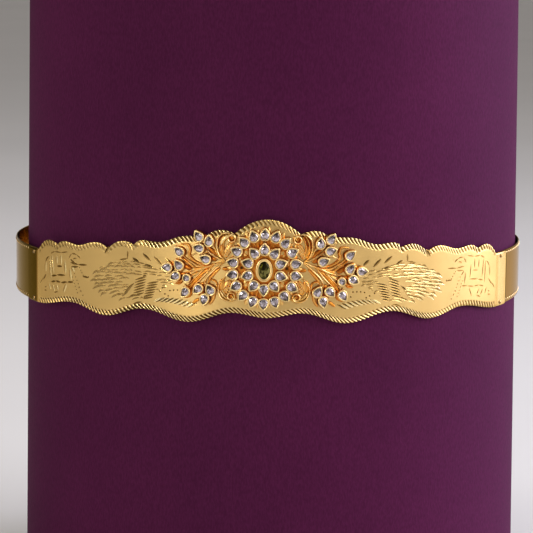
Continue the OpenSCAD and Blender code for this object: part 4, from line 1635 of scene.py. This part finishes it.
@dataclass
class Spray:
    """Vines with set stones at one side of the flower."""

    place: OrnamentPlace
    levels: Levels
    side: Side
    reach: float = 43.4
    rise: float = 14.2
    drop_w: float = 3.4
    drop_l: float = 4.4
    round_d: float = 2.9
    strand_w: float = 1.0
    strand_h: float = 1.5
    leaf_h: float = 0.95
    curl_r: float = 2.1
    round_stone: int = 8
    stones: tuple[Point, ...] = (
        (0.669, 0.947, 55), (0.56, 0.82, 90), (0.667, 0.577, 15), (0.597, 0.254, 20), (0.871, 0.444, 40),
        (0.873, 0.032, 50), (1, -0.07, 0), (0.91, -0.331, -30), (0.786, -0.366, 0), (0.802, -0.81, -55),
        (0.668, -0.687, -45), (0.541, -0.676, 60), (0.599, -0.993, -80))
    strands: tuple[tuple[float, Path], ...] = (
        (1, ((17, 3.2), (18.9, 2.6), (20.7, 1.7), (23.9, 0.8), (26.2, -0.3), (28.4, -1.3), (30.3, -1.9),
            (32.5, -2.4), (35.6, -3.1))),
        (1, ((17.3, 2.9), (19.2, 1.2), (20.9, -0.1), (22.6, -1.7), (24.4, -3.5), (25.5, -5.2), (26, -6.6),
            (25.4, -8))),
        (0.9, ((23, 0.6), (24, -0.7), (25.3, -2.5), (26.6, -4), (28.5, -5.9), (30, -7.2), (31.2, -8.7), (31.9, -10))),
        (0.8, ((26.4, -0.8), (28, -2.4), (29.4, -3.8), (31.4, -5.9), (33.2, -7.7), (34, -9.2))),
        (0.8, ((27.6, -1.5), (29.8, -3.1), (31.4, -4), (33, -5))),
        (0.9, ((21.6, 1.5), (24.5, 0.6), (28, 0.1), (30, 0.6), (32.5, 1.9), (34.6, 3.2), (36.6, 4.9))),
        (0.9, ((17.4, 3.5), (19.6, 3.8), (21.4, 4.6), (23.5, 5.7), (24.8, 6.9), (26.6, 8.2))),
        (0.8, ((18, 3.8), (20.2, 5.3), (21.4, 7.1), (22.2, 8.9), (23.4, 10.2))),
        (0.7, ((28.2, 4.9), (29.6, 6), (31.3, 5.2), (32.9, 4.6))),
        (0.7, ((20.9, 3.4), (22.2, 5.2), (23.9, 6.2), (25.8, 6.1))),
        (0.7, ((21, -9.6), (20.9, -7.6), (21.9, -6.3), (23.4, -5.8), (24.6, -6.8))),
        (0.7, ((35.2, 1.5), (33.8, 1.6), (32.4, 0.9), (31.2, -0.4))),
        (0.7, ((36.2, -1.6), (37.2, -2.6), (38.2, -2.6))), (0.7, ((26.3, 13.4), (27.4, 12.5), (28.2, 11.6))),
        (0.7, ((28.8, 9.6), (29, 10.8), (29.2, 12))), (0.7, ((39.5, 0.3), (40.6, -0.2), (41.8, -0.8))),
        (0.7, ((24.4, -11.2), (25, -12.6), (25.8, -13.2))), (0.7, ((35.3, -8), (34.9, -8.8), (34.8, -9.6))))
    leaves: tuple[tuple[float, float, Path], ...] = (
        (1.4, 0.42, ((19.4, -0.1), (20.8, -1.3), (22.1, -2.7), (23.8, -4.8), (24.7, -6.9))),
        (1.5, 0.36, ((25.6, -1.3), (28, -3.6), (30.3, -6.1), (32.2, -8.3), (33, -9.8))),
        (1.5, 0.45, ((23.6, 1), (28, 1.3), (30.3, 2), (32.1, 3.1), (33.3, 4.4), (33.6, 5.6), (33.2, 6.8),
            (33.3, 8.1), (34, 9.2), (35.4, 9.5), (37.4, 9.3))),
        (1.3, 0.42, ((29.4, -0.9), (31.4, -0.3), (33.2, 1), (35.3, 2.4), (37.2, 3.9))),
        (1.1, 0.48, ((27.5, -2.2), (29.5, -2.7), (31, -3.3), (32.6, -4))),
        (1.3, 0.36, ((20.6, -8.2), (21.2, -6.6), (22.3, -5.7), (23.9, -5.4))),
        (1.5, 0.5, ((21.7, -10.4), (22, -12.3), (22.6, -14.2), (24, -16.3))),
        (1, 0.42, ((36.6, -7.1), (38, -7.9), (39.8, -7.9))), (2.4, 0.16, ((20.9, 3.6), (22, 3.7), (23.3, 3.8))),
        (1.9, 0.2, ((20.6, 5.2), (22.4, 6.7), (25, 8.7))), (1.8, 0.22, ((15, 0), (16.9, -0.4), (18.4, -0.5))),
        (2.3, 0.14, ((32.2, -1.2), (34, -0.7), (35.6, 0.4))), (1.4, 0.36, ((35, -3.2), (36.4, -3.6), (37.3, -3.4))),
        (1.1, 0.6, ((36.3, -5.8), (37.2, -6.8), (38.8, -7.1))), (1.3, 0.3, ((26, 14), (26.7, 12.4), (27.3, 10.9))),
        (1.4, 0.34, ((31.7, -9.4), (32.2, -11.4), (33.2, -13), (35.2, -14))),
        (1.2, 0.3, ((26.2, -10.4), (27.2, -11.6), (28.8, -12.4))),
        (2, 0.45, ((22.4, 0.9), (25, 0.2), (28, -0.9), (31, -1.2))),
        (1.6, 0.4, ((23.6, -1.2), (25.3, -1.4), (27, -2.6))), (1.4, 0.4, ((25.8, -7.4), (27, -7.2), (28, -8))),
        (1.5, 0.36, ((28.4, -14), (29.8, -14.8), (31.6, -16.2))), (1.4, 0.4, ((39.9, 1.3), (40.8, 0.9), (41.4, 0.2))))
    webs: tuple[tuple[float, float, Path], ...] = (
        (3.4, 0.62, ((13.4, 10.4), (15, 9.4), (16.3, 7.4), (17.6, 4.6))),
        (3, 0.62, ((14.4, -5.6), (16, -7), (16.8, -9), (16.6, -11))),
        (2.6, 0.5, ((18.8, 10.2), (18.8, 7.6), (18.2, 5))), (2.6, 0.5, ((18, -5.2), (18.8, -7.4), (18.6, -9.8))))
    grain_rows: tuple[tuple[float, float, float, float, int], ...] = (
        (13.6, 9.6, 16.2, 5.6, 5), (14.8, 10, 17.3, 5.6, 6), (15.9, 10, 17.7, 7.4, 4), (14.6, -6.2, 15.8, -9.6, 4),
        (15.8, -6, 17, -9.8, 5))
    grain_r: float = 0.42
    # Arcs of relief 0.04 are dark strips of painted shade between the ribs
    arcs: tuple[tuple[float, float, float, Path], ...] = (
        (0.95, 1.6, 1.2, ((15.4, 15), (17, 15.3), (18.6, 14.8), (19.8, 13.8), (20.6, 12.6), (21, 10.6), (20.9, 8.5),
            (20.2, 6.3), (19.1, 4.8), (17.8, 3.8))),
        (0.95, 1.6, 1.2, ((17.3, -4.4), (19.1, -6.3), (20, -8.4), (19.8, -10.6), (18.9, -12.7), (17.1, -14),
            (15, -14.4), (13, -13.9), (12, -12.8))),
        (0.62, 1.3, 1.1, ((16.5, 14.3), (17.5, 12.4), (18.1, 10.4), (18.1, 8.2), (17.7, 6.2))),
        (0.62, 1.3, 1.1, ((17.8, 14.3), (19, 12.6), (19.6, 10.4), (19.5, 8), (18.8, 5.8))),
        (1, 1.1, 1.15, ((19.2, -10), (18.2, -11.8), (16.3, -13.4))),
        (0.6, 1.1, 1, ((17.9, -9.4), (17, -11.2), (15.8, -12.3))),
        (0.75, 0.75, 0.04, ((17.1, 14.4), (18.2, 12.5), (18.85, 10.4), (18.8, 8.4))),
        (0.75, 0.75, 0.04, ((18.7, 14), (19.8, 12.3), (20.25, 10.4), (20.1, 9))),
        (0.75, 0.85, 0.04, ((15.6, -7.3), (17.4, -9))))
    pale_leaf: tuple[float, float, float, Path] = (
        2, 1.5, 1.3, ((14.8, 14.2), (16.6, 13.6), (18.2, 12.2), (19.2, 10.2)))
    curls: tuple[tuple[float, float, int], ...] = ((0.332, 0.91, 1), (0.328, -0.86, -1))
    curl_w: float = 1.0
    steps: int = 6

    def settings(self) -> list[Setting]:
        """Settings of the spray's stones, all drops but the round one.

        Returns:
            The settings, in the order of the stones.
        """
        found = []
        for i, (across, up, tip) in enumerate(self.stones):
            size = (self.drop_w, self.drop_l, StoneForm.DROP)
            if i == self.round_stone:
                size = (self.round_d, self.round_d, StoneForm.OVAL)
            found.append(Setting(across * self.reach, up * self.rise, tip, *size, self.levels.seat, skirt=0.55))
        return found

    def _crescents(self, work: Casting) -> None:
        """Adds grained leaves, a pale outer arc that runs into a curl, and finer ribs with dark strips between them,
        painted shade that stands for the gaps.

        Args:
            work: Casting that takes them.
        """
        leaf = [self.pale_leaf] if self.side is Side.LEFT else []
        for width, height, tone, points in [*self.arcs, *leaf]:
            line = smooth_line(points, self.steps)
            taper = tapered(len(line), 0.25, 0.4)
            work.ridge(line, width * taper, height * (0.7 + 0.3 * taper), tone, flank=0.6)
        for u0, v0, u1, v1, count in self.grain_rows:
            for share in np.linspace(0, 1, count):
                work.granule(u0 + (u1 - u0) * share, v0 + (v1 - v0) * share, self.grain_r, 0.62, 1.0)
        for across, up, turn in self.curls:
            self._curl(work, np.array([across * self.reach, up * self.rise]), turn)

    def _curl(self, work: Casting, middle: np.ndarray, turn: int) -> None:
        """Adds a scroll of one and a half turns, whose radius shrinks to a quarter in the second half.

        Args:
            work: Casting that takes it.
            middle: Place of its middle, across and up.
            turn: 1 for a scroll that turns to the left, -1 for one that turns to the right.
        """
        share = np.linspace(0, 1, 48)
        angle = turn * (FULL_TURN * 1.5 * share + 1.2)
        fine = smoothstep(0.55, 1.0, share)
        radius = (self.curl_r - self.curl_w / 2) * (1 - 0.75 * fine)
        line = middle + radius[:, None] * np.stack([np.cos(angle), np.sin(angle)], axis=-1)
        work.ridge(line, self.curl_w * (1 - 0.45 * fine), 1.8 - 0.4 * fine, 1.2, flank=0.65)
        work.granule(middle[0], middle[1], 1.3, -0.6, 0.3)

    def build(self, finish: Material) -> Piece:
        """Makes one spray: low webs and leaves, strands, crescents and rims.

        Args:
            finish: Gold of the castings.

        Returns:
            The spray's casting.
        """
        work = Casting(self.place, self.levels, self.side)
        for width, tone, points in self.webs:
            line = smooth_line(points, self.steps)
            taper = tapered(len(line), 0.25, 0.5)
            work.ridge(line, width * taper, 0.7 * taper, tone, flank=0.7)
        for width, tone, points in self.leaves:
            line = smooth_line(points, self.steps)
            taper = tapered(len(line), 0.2, 0.6)
            work.ridge(line, width * taper, self.leaf_h * (0.6 + 0.4 * taper), tone * 1.15, flank=0.6)
        for scale, points in self.strands:
            line = smooth_line(points, self.steps)
            taper = 0.55 + 0.45 * tapered(len(line), 0.0, 1.0)
            work.ridge(line, scale * self.strand_w * taper, scale * self.strand_h * (0.75 + 0.25 * taper), 1.2,
                       flank=0.64)
        self._crescents(work)
        for setting in self.settings():
            work.bezel(setting)
            work.floor(setting)
        name = self.side.name.lower()
        piece = work.shell.build(f"{name}_spray_casting")
        return dress(piece, finish, Slot.GOLD_CASTING, f"{name}_spray_setting")


@dataclass
class CutStones:
    """Cut stones with a table, two rows of crown facets, a girdle and a pavilion."""

    place: OrnamentPlace
    levels: Levels
    seed: int = 11
    sides: int = 16
    table: float = 0.5
    mid: float = 0.8
    keel: float = 0.55
    crown_share: float = 0.16
    girdle_t: float = 0.15
    table_rise: float = 0.05

    def _points(self, s: Setting) -> np.ndarray:
        """Corners of a stone, upwards from its girdle.

        The rows are: the table's rise and rim, the middle row half a step on, the upper and lower girdle, the
        keel and the culet. Each row is the outline, or every second point of it, times a share.

        Args:
            s: The stone's place.

        Returns:
            The corners in the stone's own frame.
        """
        full = stone_outline(s.width, s.length, s.form, self.sides)
        crown = self.crown_share * s.width + self.girdle_t
        deep = self.levels.pavilion * s.width
        back = np.array([[0.0, -0.08 * s.length if s.form is StoneForm.DROP else 0.0]])
        rows = [(0.3 * back, crown), (self.table * full[::2], crown - self.table_rise),
                (self.mid * full[1::2], self.girdle_t + 0.62 * (crown - self.table_rise - self.girdle_t)),
                (full, self.girdle_t), (full, 0.0), (self.keel * full[1::2], -0.6 * deep), (back, -deep)]
        return np.concatenate([at_height(row, h) for row, h in rows])

    def _faces(self) -> np.ndarray:
        """Triangles between the rows of corners, each row joined to the next one all round.

        Returns:
            Three corner numbers for each triangle.
        """
        n, m = self.sides, self.sides // 2
        table, middle, upper = 1, 1 + m, 1 + 2 * m
        lower, keel = upper + n, upper + 2 * n
        k, i = np.arange(m), np.arange(n)
        k1, i1 = (k + 1) % m, (i + 1) % n
        odd, even, after = 2 * k + 1, 2 * k, (2 * k + 2) % n
        rows = [
            (0 * k, table + k1, table + k), (table + k, table + k1, middle + k), (middle + k, table + k1, middle + k1),
            (middle + k, upper + odd, upper + even), (middle + k, upper + after, upper + odd),
            (middle + k, middle + k1, upper + after), (upper + i, upper + i1, lower + i),
            (lower + i, upper + i1, lower + i1), (lower + odd, keel + k, lower + even),
            (lower + after, keel + k, lower + odd), (lower + after, keel + k1, keel + k),
            (keel + k, keel + k1, 0 * k + keel + m)]
        return np.concatenate([np.stack(r, axis=-1) for r in rows])

    def _tones(self, points: np.ndarray, faces: np.ndarray, length: float, rng: np.random.Generator) -> np.ndarray:
        """Tone of each facet, a painted reflection: a random share, darker towards the tip, with a few white ones at
        the round end as painted glints.

        Args:
            points: Corners of the stone.
            faces: Its triangles.
            length: Its full length.
            rng: Source of the random shares.

        Returns:
            A value from 0 to 1 for each facet.
        """
        up = points[faces].mean(axis=1)[:, 1] / (length / 2)
        # Painted reflections in each facet, darker towards the tip, and white painted glints at the round end
        tone = rng.uniform(0.22, 0.85, len(faces)) - 0.45 * smoothstep(-0.1, 0.5, up)
        painted_glint = (rng.random(len(faces)) > 0.62) & (up < 0.25)
        return np.clip(np.where(painted_glint, 1.0, tone), 0, 1)

    def build(self, name: str, settings: list[Setting], side: Side, finish: Material, slot: Slot,
              node: str) -> Piece:
        """Makes the stones of one node.

        Args:
            name: Name of the piece.
            settings: Places of its stones.
            side: Side of the ornament that they are on.
            finish: Material of the stones.
            slot: The record's slot of that finish.
            node: Node that the piece replaces.

        Returns:
            The piece with its facets left flat.
        """
        rng = np.random.default_rng(self.seed + sum(ord(c) for c in name))
        faces, corners, facet_reflections = self._faces(), [], []
        for s in settings:
            local = self._points(s)
            lift = s.lift + self.levels.girdle(s.width)
            corners.append(placed(self.place.seat(s.across, s.up, lift, s.tip, side), local))
            facet_reflections.append(self._tones(local, faces, s.length, rng))
        count = len(corners[0])
        indices = np.concatenate([faces + count * k for k in range(len(settings))])
        mesh = bpy.data.meshes.new(name)
        mesh.from_pydata((np.concatenate(corners) * MM).tolist(), [], indices.tolist())
        layer = mesh.attributes.new(FACET_REFLECTION, "FLOAT", "FACE")
        layer.data.foreach_set("value", np.concatenate(facet_reflections).astype(np.float32))
        face_outwards(mesh)
        mesh.shade_flat()
        return dress(put(name, mesh), finish, slot, node)


@dataclass
class Drum:
    """The display drum: a paper cover with a seam at the back, and two plain ends."""

    foot_r: float
    top_r: float
    height: float
    middle: tuple[float, float]
    rim: float = 1.2
    seam_at: float = 100.0
    seam_lap: float = 9.0
    seam_rise: float = 0.3
    sides: int = 256

    def build(self, finish: Material) -> Piece:
        """Makes the drum: a slightly tapered profile turned round its axis, thicker at the seam's lap.

        Args:
            finish: The paper.

        Returns:
            The drum.
        """
        levels = np.linspace(self.rim, self.height - self.rim, 24)
        turn = np.radians(np.linspace(0, 90, 5))
        fillet_r, fillet_z = self.rim * (1 - np.cos(turn)), self.rim * (1 - np.sin(turn))
        radius = np.interp(levels, [0, self.height], [self.foot_r, self.top_r])
        foot = np.stack([self.foot_r - self.rim + self.rim * np.sin(turn), self.rim - self.rim * np.cos(turn)])
        top = np.stack([self.top_r - fillet_r, self.height - fillet_z])
        profile = np.concatenate([foot.T, np.stack([radius, levels], axis=-1)[1:-1], top.T])
        angle = ring_angles(self.sides)
        from_seam = np.degrees(angle) - self.seam_at
        lap = np.where((from_seam > 0) & (from_seam < self.seam_lap), 0.0, -self.seam_rise)
        radius = profile[:, :1] + lap[None, :] * smoothstep(0, 4, profile[:, 1:])
        x = self.middle[0] + radius * np.cos(angle)[None, :]
        y = self.middle[1] + radius * np.sin(angle)[None, :]
        shell = Shell()
        shell.grid(np.stack([x, y, np.broadcast_to(profile[:, 1:], x.shape)], axis=-1), caps=True)
        return dress(shell.build("paper_display_drum", 30), finish, Slot.DRUM_PAPER, "display_drum")


def standing(axes: list[np.ndarray], where: np.ndarray) -> Matrix:
    """Matrix of an object by its three axes and its place.

    Args:
        axes: Directions of its own x, y and z.
        where: Place of its origin, in metres.

    Returns:
        The matrix.
    """
    matrix = np.eye(4)
    matrix[:3, :3], matrix[:3, 3] = np.stack(axes, axis=1), where
    return Matrix(matrix)


@dataclass
class Studio:
    """Camera, floor and lights. The camera stands at the photo's viewing angle."""

    distance: float = 1200.0
    elevation: float = 8.0
    roll: float = 0.55
    aim_x: float = -0.43
    aim_z: float = 150.65
    half_view: float = 6.08
    sensor: float = 36.0
    floor_size: float = 40.0

    def camera(self) -> None:
        """Places the camera: it looks at the aim from the front, raised by the elevation and rolled a little."""
        e, rho = math.radians(self.elevation), math.radians(self.roll)
        right, up = np.array([1.0, 0, 0]), np.array([0, math.sin(e), math.cos(e)])
        forward = np.array([0, math.cos(e), -math.sin(e)])
        where = np.array([self.aim_x, -self.distance * math.cos(e), self.aim_z + self.distance * math.sin(e)])
        axes = [math.cos(rho) * right + math.sin(rho) * up, -math.sin(rho) * right + math.cos(rho) * up, -forward]
        data = bpy.data.cameras.new("camera")
        data.sensor_width = self.sensor
        data.lens = self.sensor / 2 / math.tan(math.radians(self.half_view))
        data.clip_start, data.clip_end = 0.05, 100.0
        camera = put("camera", data)
        camera.matrix_world = standing(axes, where * MM)
        bpy.context.scene.camera = camera

    def floor(self) -> None:
        """Lays a wide pale floor just under the drum."""
        half = self.floor_size / 2
        mesh = bpy.data.meshes.new("floor")
        corners = [(-half, -half, 0), (half, -half, 0), (half, half, 0), (-half, half, 0)]
        mesh.from_pydata(corners, [], [(0, 1, 2, 3)])
        floor = put("floor", mesh)
        mesh.materials.append(FloorFinish("pale_floor", (0.63, 0.6, 0.56)).make())

    def _panel(self, name: str, where: Point, size: tuple[float, float], power: float,
               colour: Colour = (1, 1, 1)) -> None:
        """Sets a soft panel light that faces the belt.

        Args:
            name: Name of the light.
            where: Place of its middle, in metres.
            size: Width and height, in metres.
            power: Power in watts.
            colour: Colour of its light.
        """
        data = bpy.data.lights.new(name, "AREA")
        data.shape, data.size, data.size_y = "RECTANGLE", size[0], size[1]
        data.energy, data.color = power, colour
        back = np.array(where) - np.array([0, 0, 0.15])
        back /= np.linalg.norm(back)
        side = np.cross([0, 0, 1.0], back)
        side /= np.linalg.norm(side)
        put(name, data).matrix_world = standing([side, np.cross(back, side), back], np.array(where))

    def lights(self) -> None:
        """Sets six soft panels and a dim surround that is lighter on the right."""
        self._panel("right_panel", (1.75, -0.35, 1.2), (2.0, 1.6), 45, (0.98, 1.0, 1.13))
        self._panel("low_right_panel", (1.65, 0.5, 0.5), (1.1, 0.9), 13.5, (0.94, 1.0, 1.55))
        self._panel("left_panel", (-1.7, -0.5, 0.9), (0.8, 1.0), 8.5)
        self._panel("front_panel", (0.4, -1.7, 1.5), (0.5, 0.4), 1)
        self._panel("low_front_panel", (-0.78, -1.3, 0.4), (0.2, 0.3), 4.5)
        self._panel("top_panel", (-0.3, 0.1, 1.9), (1.2, 1.2), 12)
        world = bpy.data.worlds.new("surround")
        world.use_nodes = True
        tree = world.node_tree
        place = tree.nodes.new("ShaderNodeTexCoord")
        split = tree.nodes.new("ShaderNodeSeparateXYZ")
        ramp = tree.nodes.new("ShaderNodeValToRGB")
        reach = tree.nodes.new("ShaderNodeMapRange")
        reach.inputs["From Min"].default_value = -1
        ramp.color_ramp.elements.new(0.5)
        for element, position, grey in zip(ramp.color_ramp.elements, (0.1, 0.6, 0.95), (0.15, 0.34, 0.87)):
            element.position, element.color = position, (grey, 0.965 * grey, 0.965 * grey, 1)
        tree.links.new(place.outputs["Generated"], split.inputs["Vector"])
        tree.links.new(split.outputs["X"], reach.inputs["Value"])
        tree.links.new(reach.outputs["Result"], ramp.inputs["Fac"])
        tree.links.new(ramp.outputs["Color"], tree.nodes["Background"].inputs["Color"])
        bpy.context.scene.world = world
        bpy.context.scene.view_settings.view_transform = "Standard"


def box_mm(node: str) -> tuple[Point, Point]:
    """Lowest and highest corner of a node, in millimetres."""
    low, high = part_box(node)
    return tuple(v / MM for v in low), tuple(v / MM for v in high)


def polish_nodes(finish: Material, names: list[str]) -> None:
    """Gives nodes of the frame that stay visible their finish.

    Args:
        finish: The material.
        names: Names of the nodes.
    """
    for name in names:
        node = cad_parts[name]
        node.data.materials.clear()
        node.data.materials.append(finish)
        log.info("%s keeps its own mesh", name)


def main() -> None:
    """Builds the pieces in order."""
    logging.basicConfig(level=logging.INFO, format="%(message)s")
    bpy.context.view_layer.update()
    studio = Studio()
    studio.camera()
    studio.floor()
    studio.lights()

    sheet = GoldFinish("satin_sheet_gold", (1.0, 0.78, 0.36), (0.72, 0.475, 0.165), (0.28, 0.15, 0.035),
                       (0.03, 0.015, 0.004), 0.34, 0.2, 0.012)
    # The straps' gold is darker than the sheet's: a painted dark reflection on the polished straps
    strap = GoldFinish("polished_strap_gold", (0.7, 0.5, 0.25), (0.3, 0.175, 0.08), (0.15, 0.085, 0.022),
                       (0.03, 0.015, 0.005), 0.2, 0.12, 0.004)
    casting = GoldFinish("cast_gold", (0.9, 0.66, 0.28), (0.87, 0.58, 0.185), (0.74, 0.295, 0.04),
                         (0.28, 0.045, 0.003), 0.4, 0.3, 0.008)
    clear = FacetFinish("clear_cut_stone", (0.06, 0.041, 0.034), (0.2, 0.158, 0.142), (0.46, 0.385, 0.39),
                        (0.69, 0.635, 0.655))
    green = FacetFinish("green_cut_stone", (0.014, 0.009, 0.0004), (0.03, 0.023, 0.001), (0.06, 0.054, 0.006),
                        (0.2, 0.18, 0.045), coat=0.15)
    paper = PaperFinish("purple_paper", (0.067, 0.0087, 0.0375), (0.0565, 0.0072, 0.032))

    plate_low, plate_high = box_mm("front_plate")
    strap_low, strap_high = box_mm("right_strap")
    clasp_low, clasp_high = box_mm("back_clasp")
    drum_low, drum_high = box_mm("display_drum")
    plate_out, strap_out = -plate_low[1], strap_high[0]
    plate_half = plate_out * math.asin(plate_high[0] / plate_out)
    outline = PlateOutline(plate_out, strap_low[2], strap_high[2], plate_half)
    foot_gap, lap, end_gap, drum_taper = 0.15, 15.0, 0.6, 2.5
    foot_r = plate_out + foot_gap
    levels = Levels(foot_r)
    face_r = foot_r + levels.seat + levels.girdle(Flower.drop_w)
    middle_z = float(outline.top(np.array([0.0]))[0] + outline.low(np.array([0.0]))[0]) / 2
    place = OrnamentPlace(face_r, foot_r, middle_z)
    flower = Flower(place, levels)
    gaps = place.laid(flower.pierced[0] * np.array([-1, 1]), np.full(2, flower.pierced[1]), np.zeros(2))
    # Where the painted shadow spots lie on the sheet, under the flower's two gaps
    shadow_spots = np.stack([plate_out * np.arctan2(gaps[:, 0], -gaps[:, 1]), gaps[:, 2]], axis=-1)
    gold = sheet.make()
    FrontPlate(plate_out - SHEET_T, plate_out, outline, shadow_spots).build(gold)
    Engraving().build(plate_out, gold)

    back_gold = strap.make()
    straps = Straps(strap_out - SHEET_T, strap_out, strap_low[2], strap_high[2], plate_half - lap,
                    math.pi * strap_out - end_gap / 2)
    straps.build(Side.LEFT, back_gold)
    straps.build(Side.RIGHT, back_gold)
    BackClasp(clasp_low, clasp_high).build(back_gold)
    rivets = [f"{s}_{v}_rivet" for s in ("left", "right") for v in ("upper", "lower")]
    # Rivet heads in a darker gold, a painted dark reflection
    head = RivetFinish("rivet_gold", (0.5, 0.32, 0.12), (0.24, 0.13, 0.035))
    polish_nodes(head.make(), rivets)

    cast_gold = casting.make()
    flower.build(cast_gold)
    stones = CutStones(place, levels)
    stone = clear.make()
    for side in Side:
        spray = Spray(place, levels, side)
        spray.build(cast_gold)
        name = side.name.lower()
        stones.build(f"{name}_spray_cut_stones", spray.settings(), side, stone, Slot.CLEAR_STONE,
                     f"{name}_spray_stones")
    for ring, settings in (("outer", flower.outer()), ("inner", flower.inner())):
        for i, setting in enumerate(settings):
            node = f"{ring}_stone_{i + 1}"
            stones.build(f"{ring}_cut_stone_{i + 1}", [setting], Side.RIGHT, stone, Slot.CLEAR_STONE, node)
    stones.build("green_cut_stone", [flower.middle()], Side.RIGHT, green.make(), Slot.GREEN_STONE, "centre_stone")

    drum_middle = ((drum_low[0] + drum_high[0]) / 2, (drum_low[1] + drum_high[1]) / 2)
    foot = (drum_high[0] - drum_low[0]) / 2
    Drum(foot, foot - drum_taper, drum_high[2], drum_middle).build(paper.make())


if __name__ == "__main__":
    main()
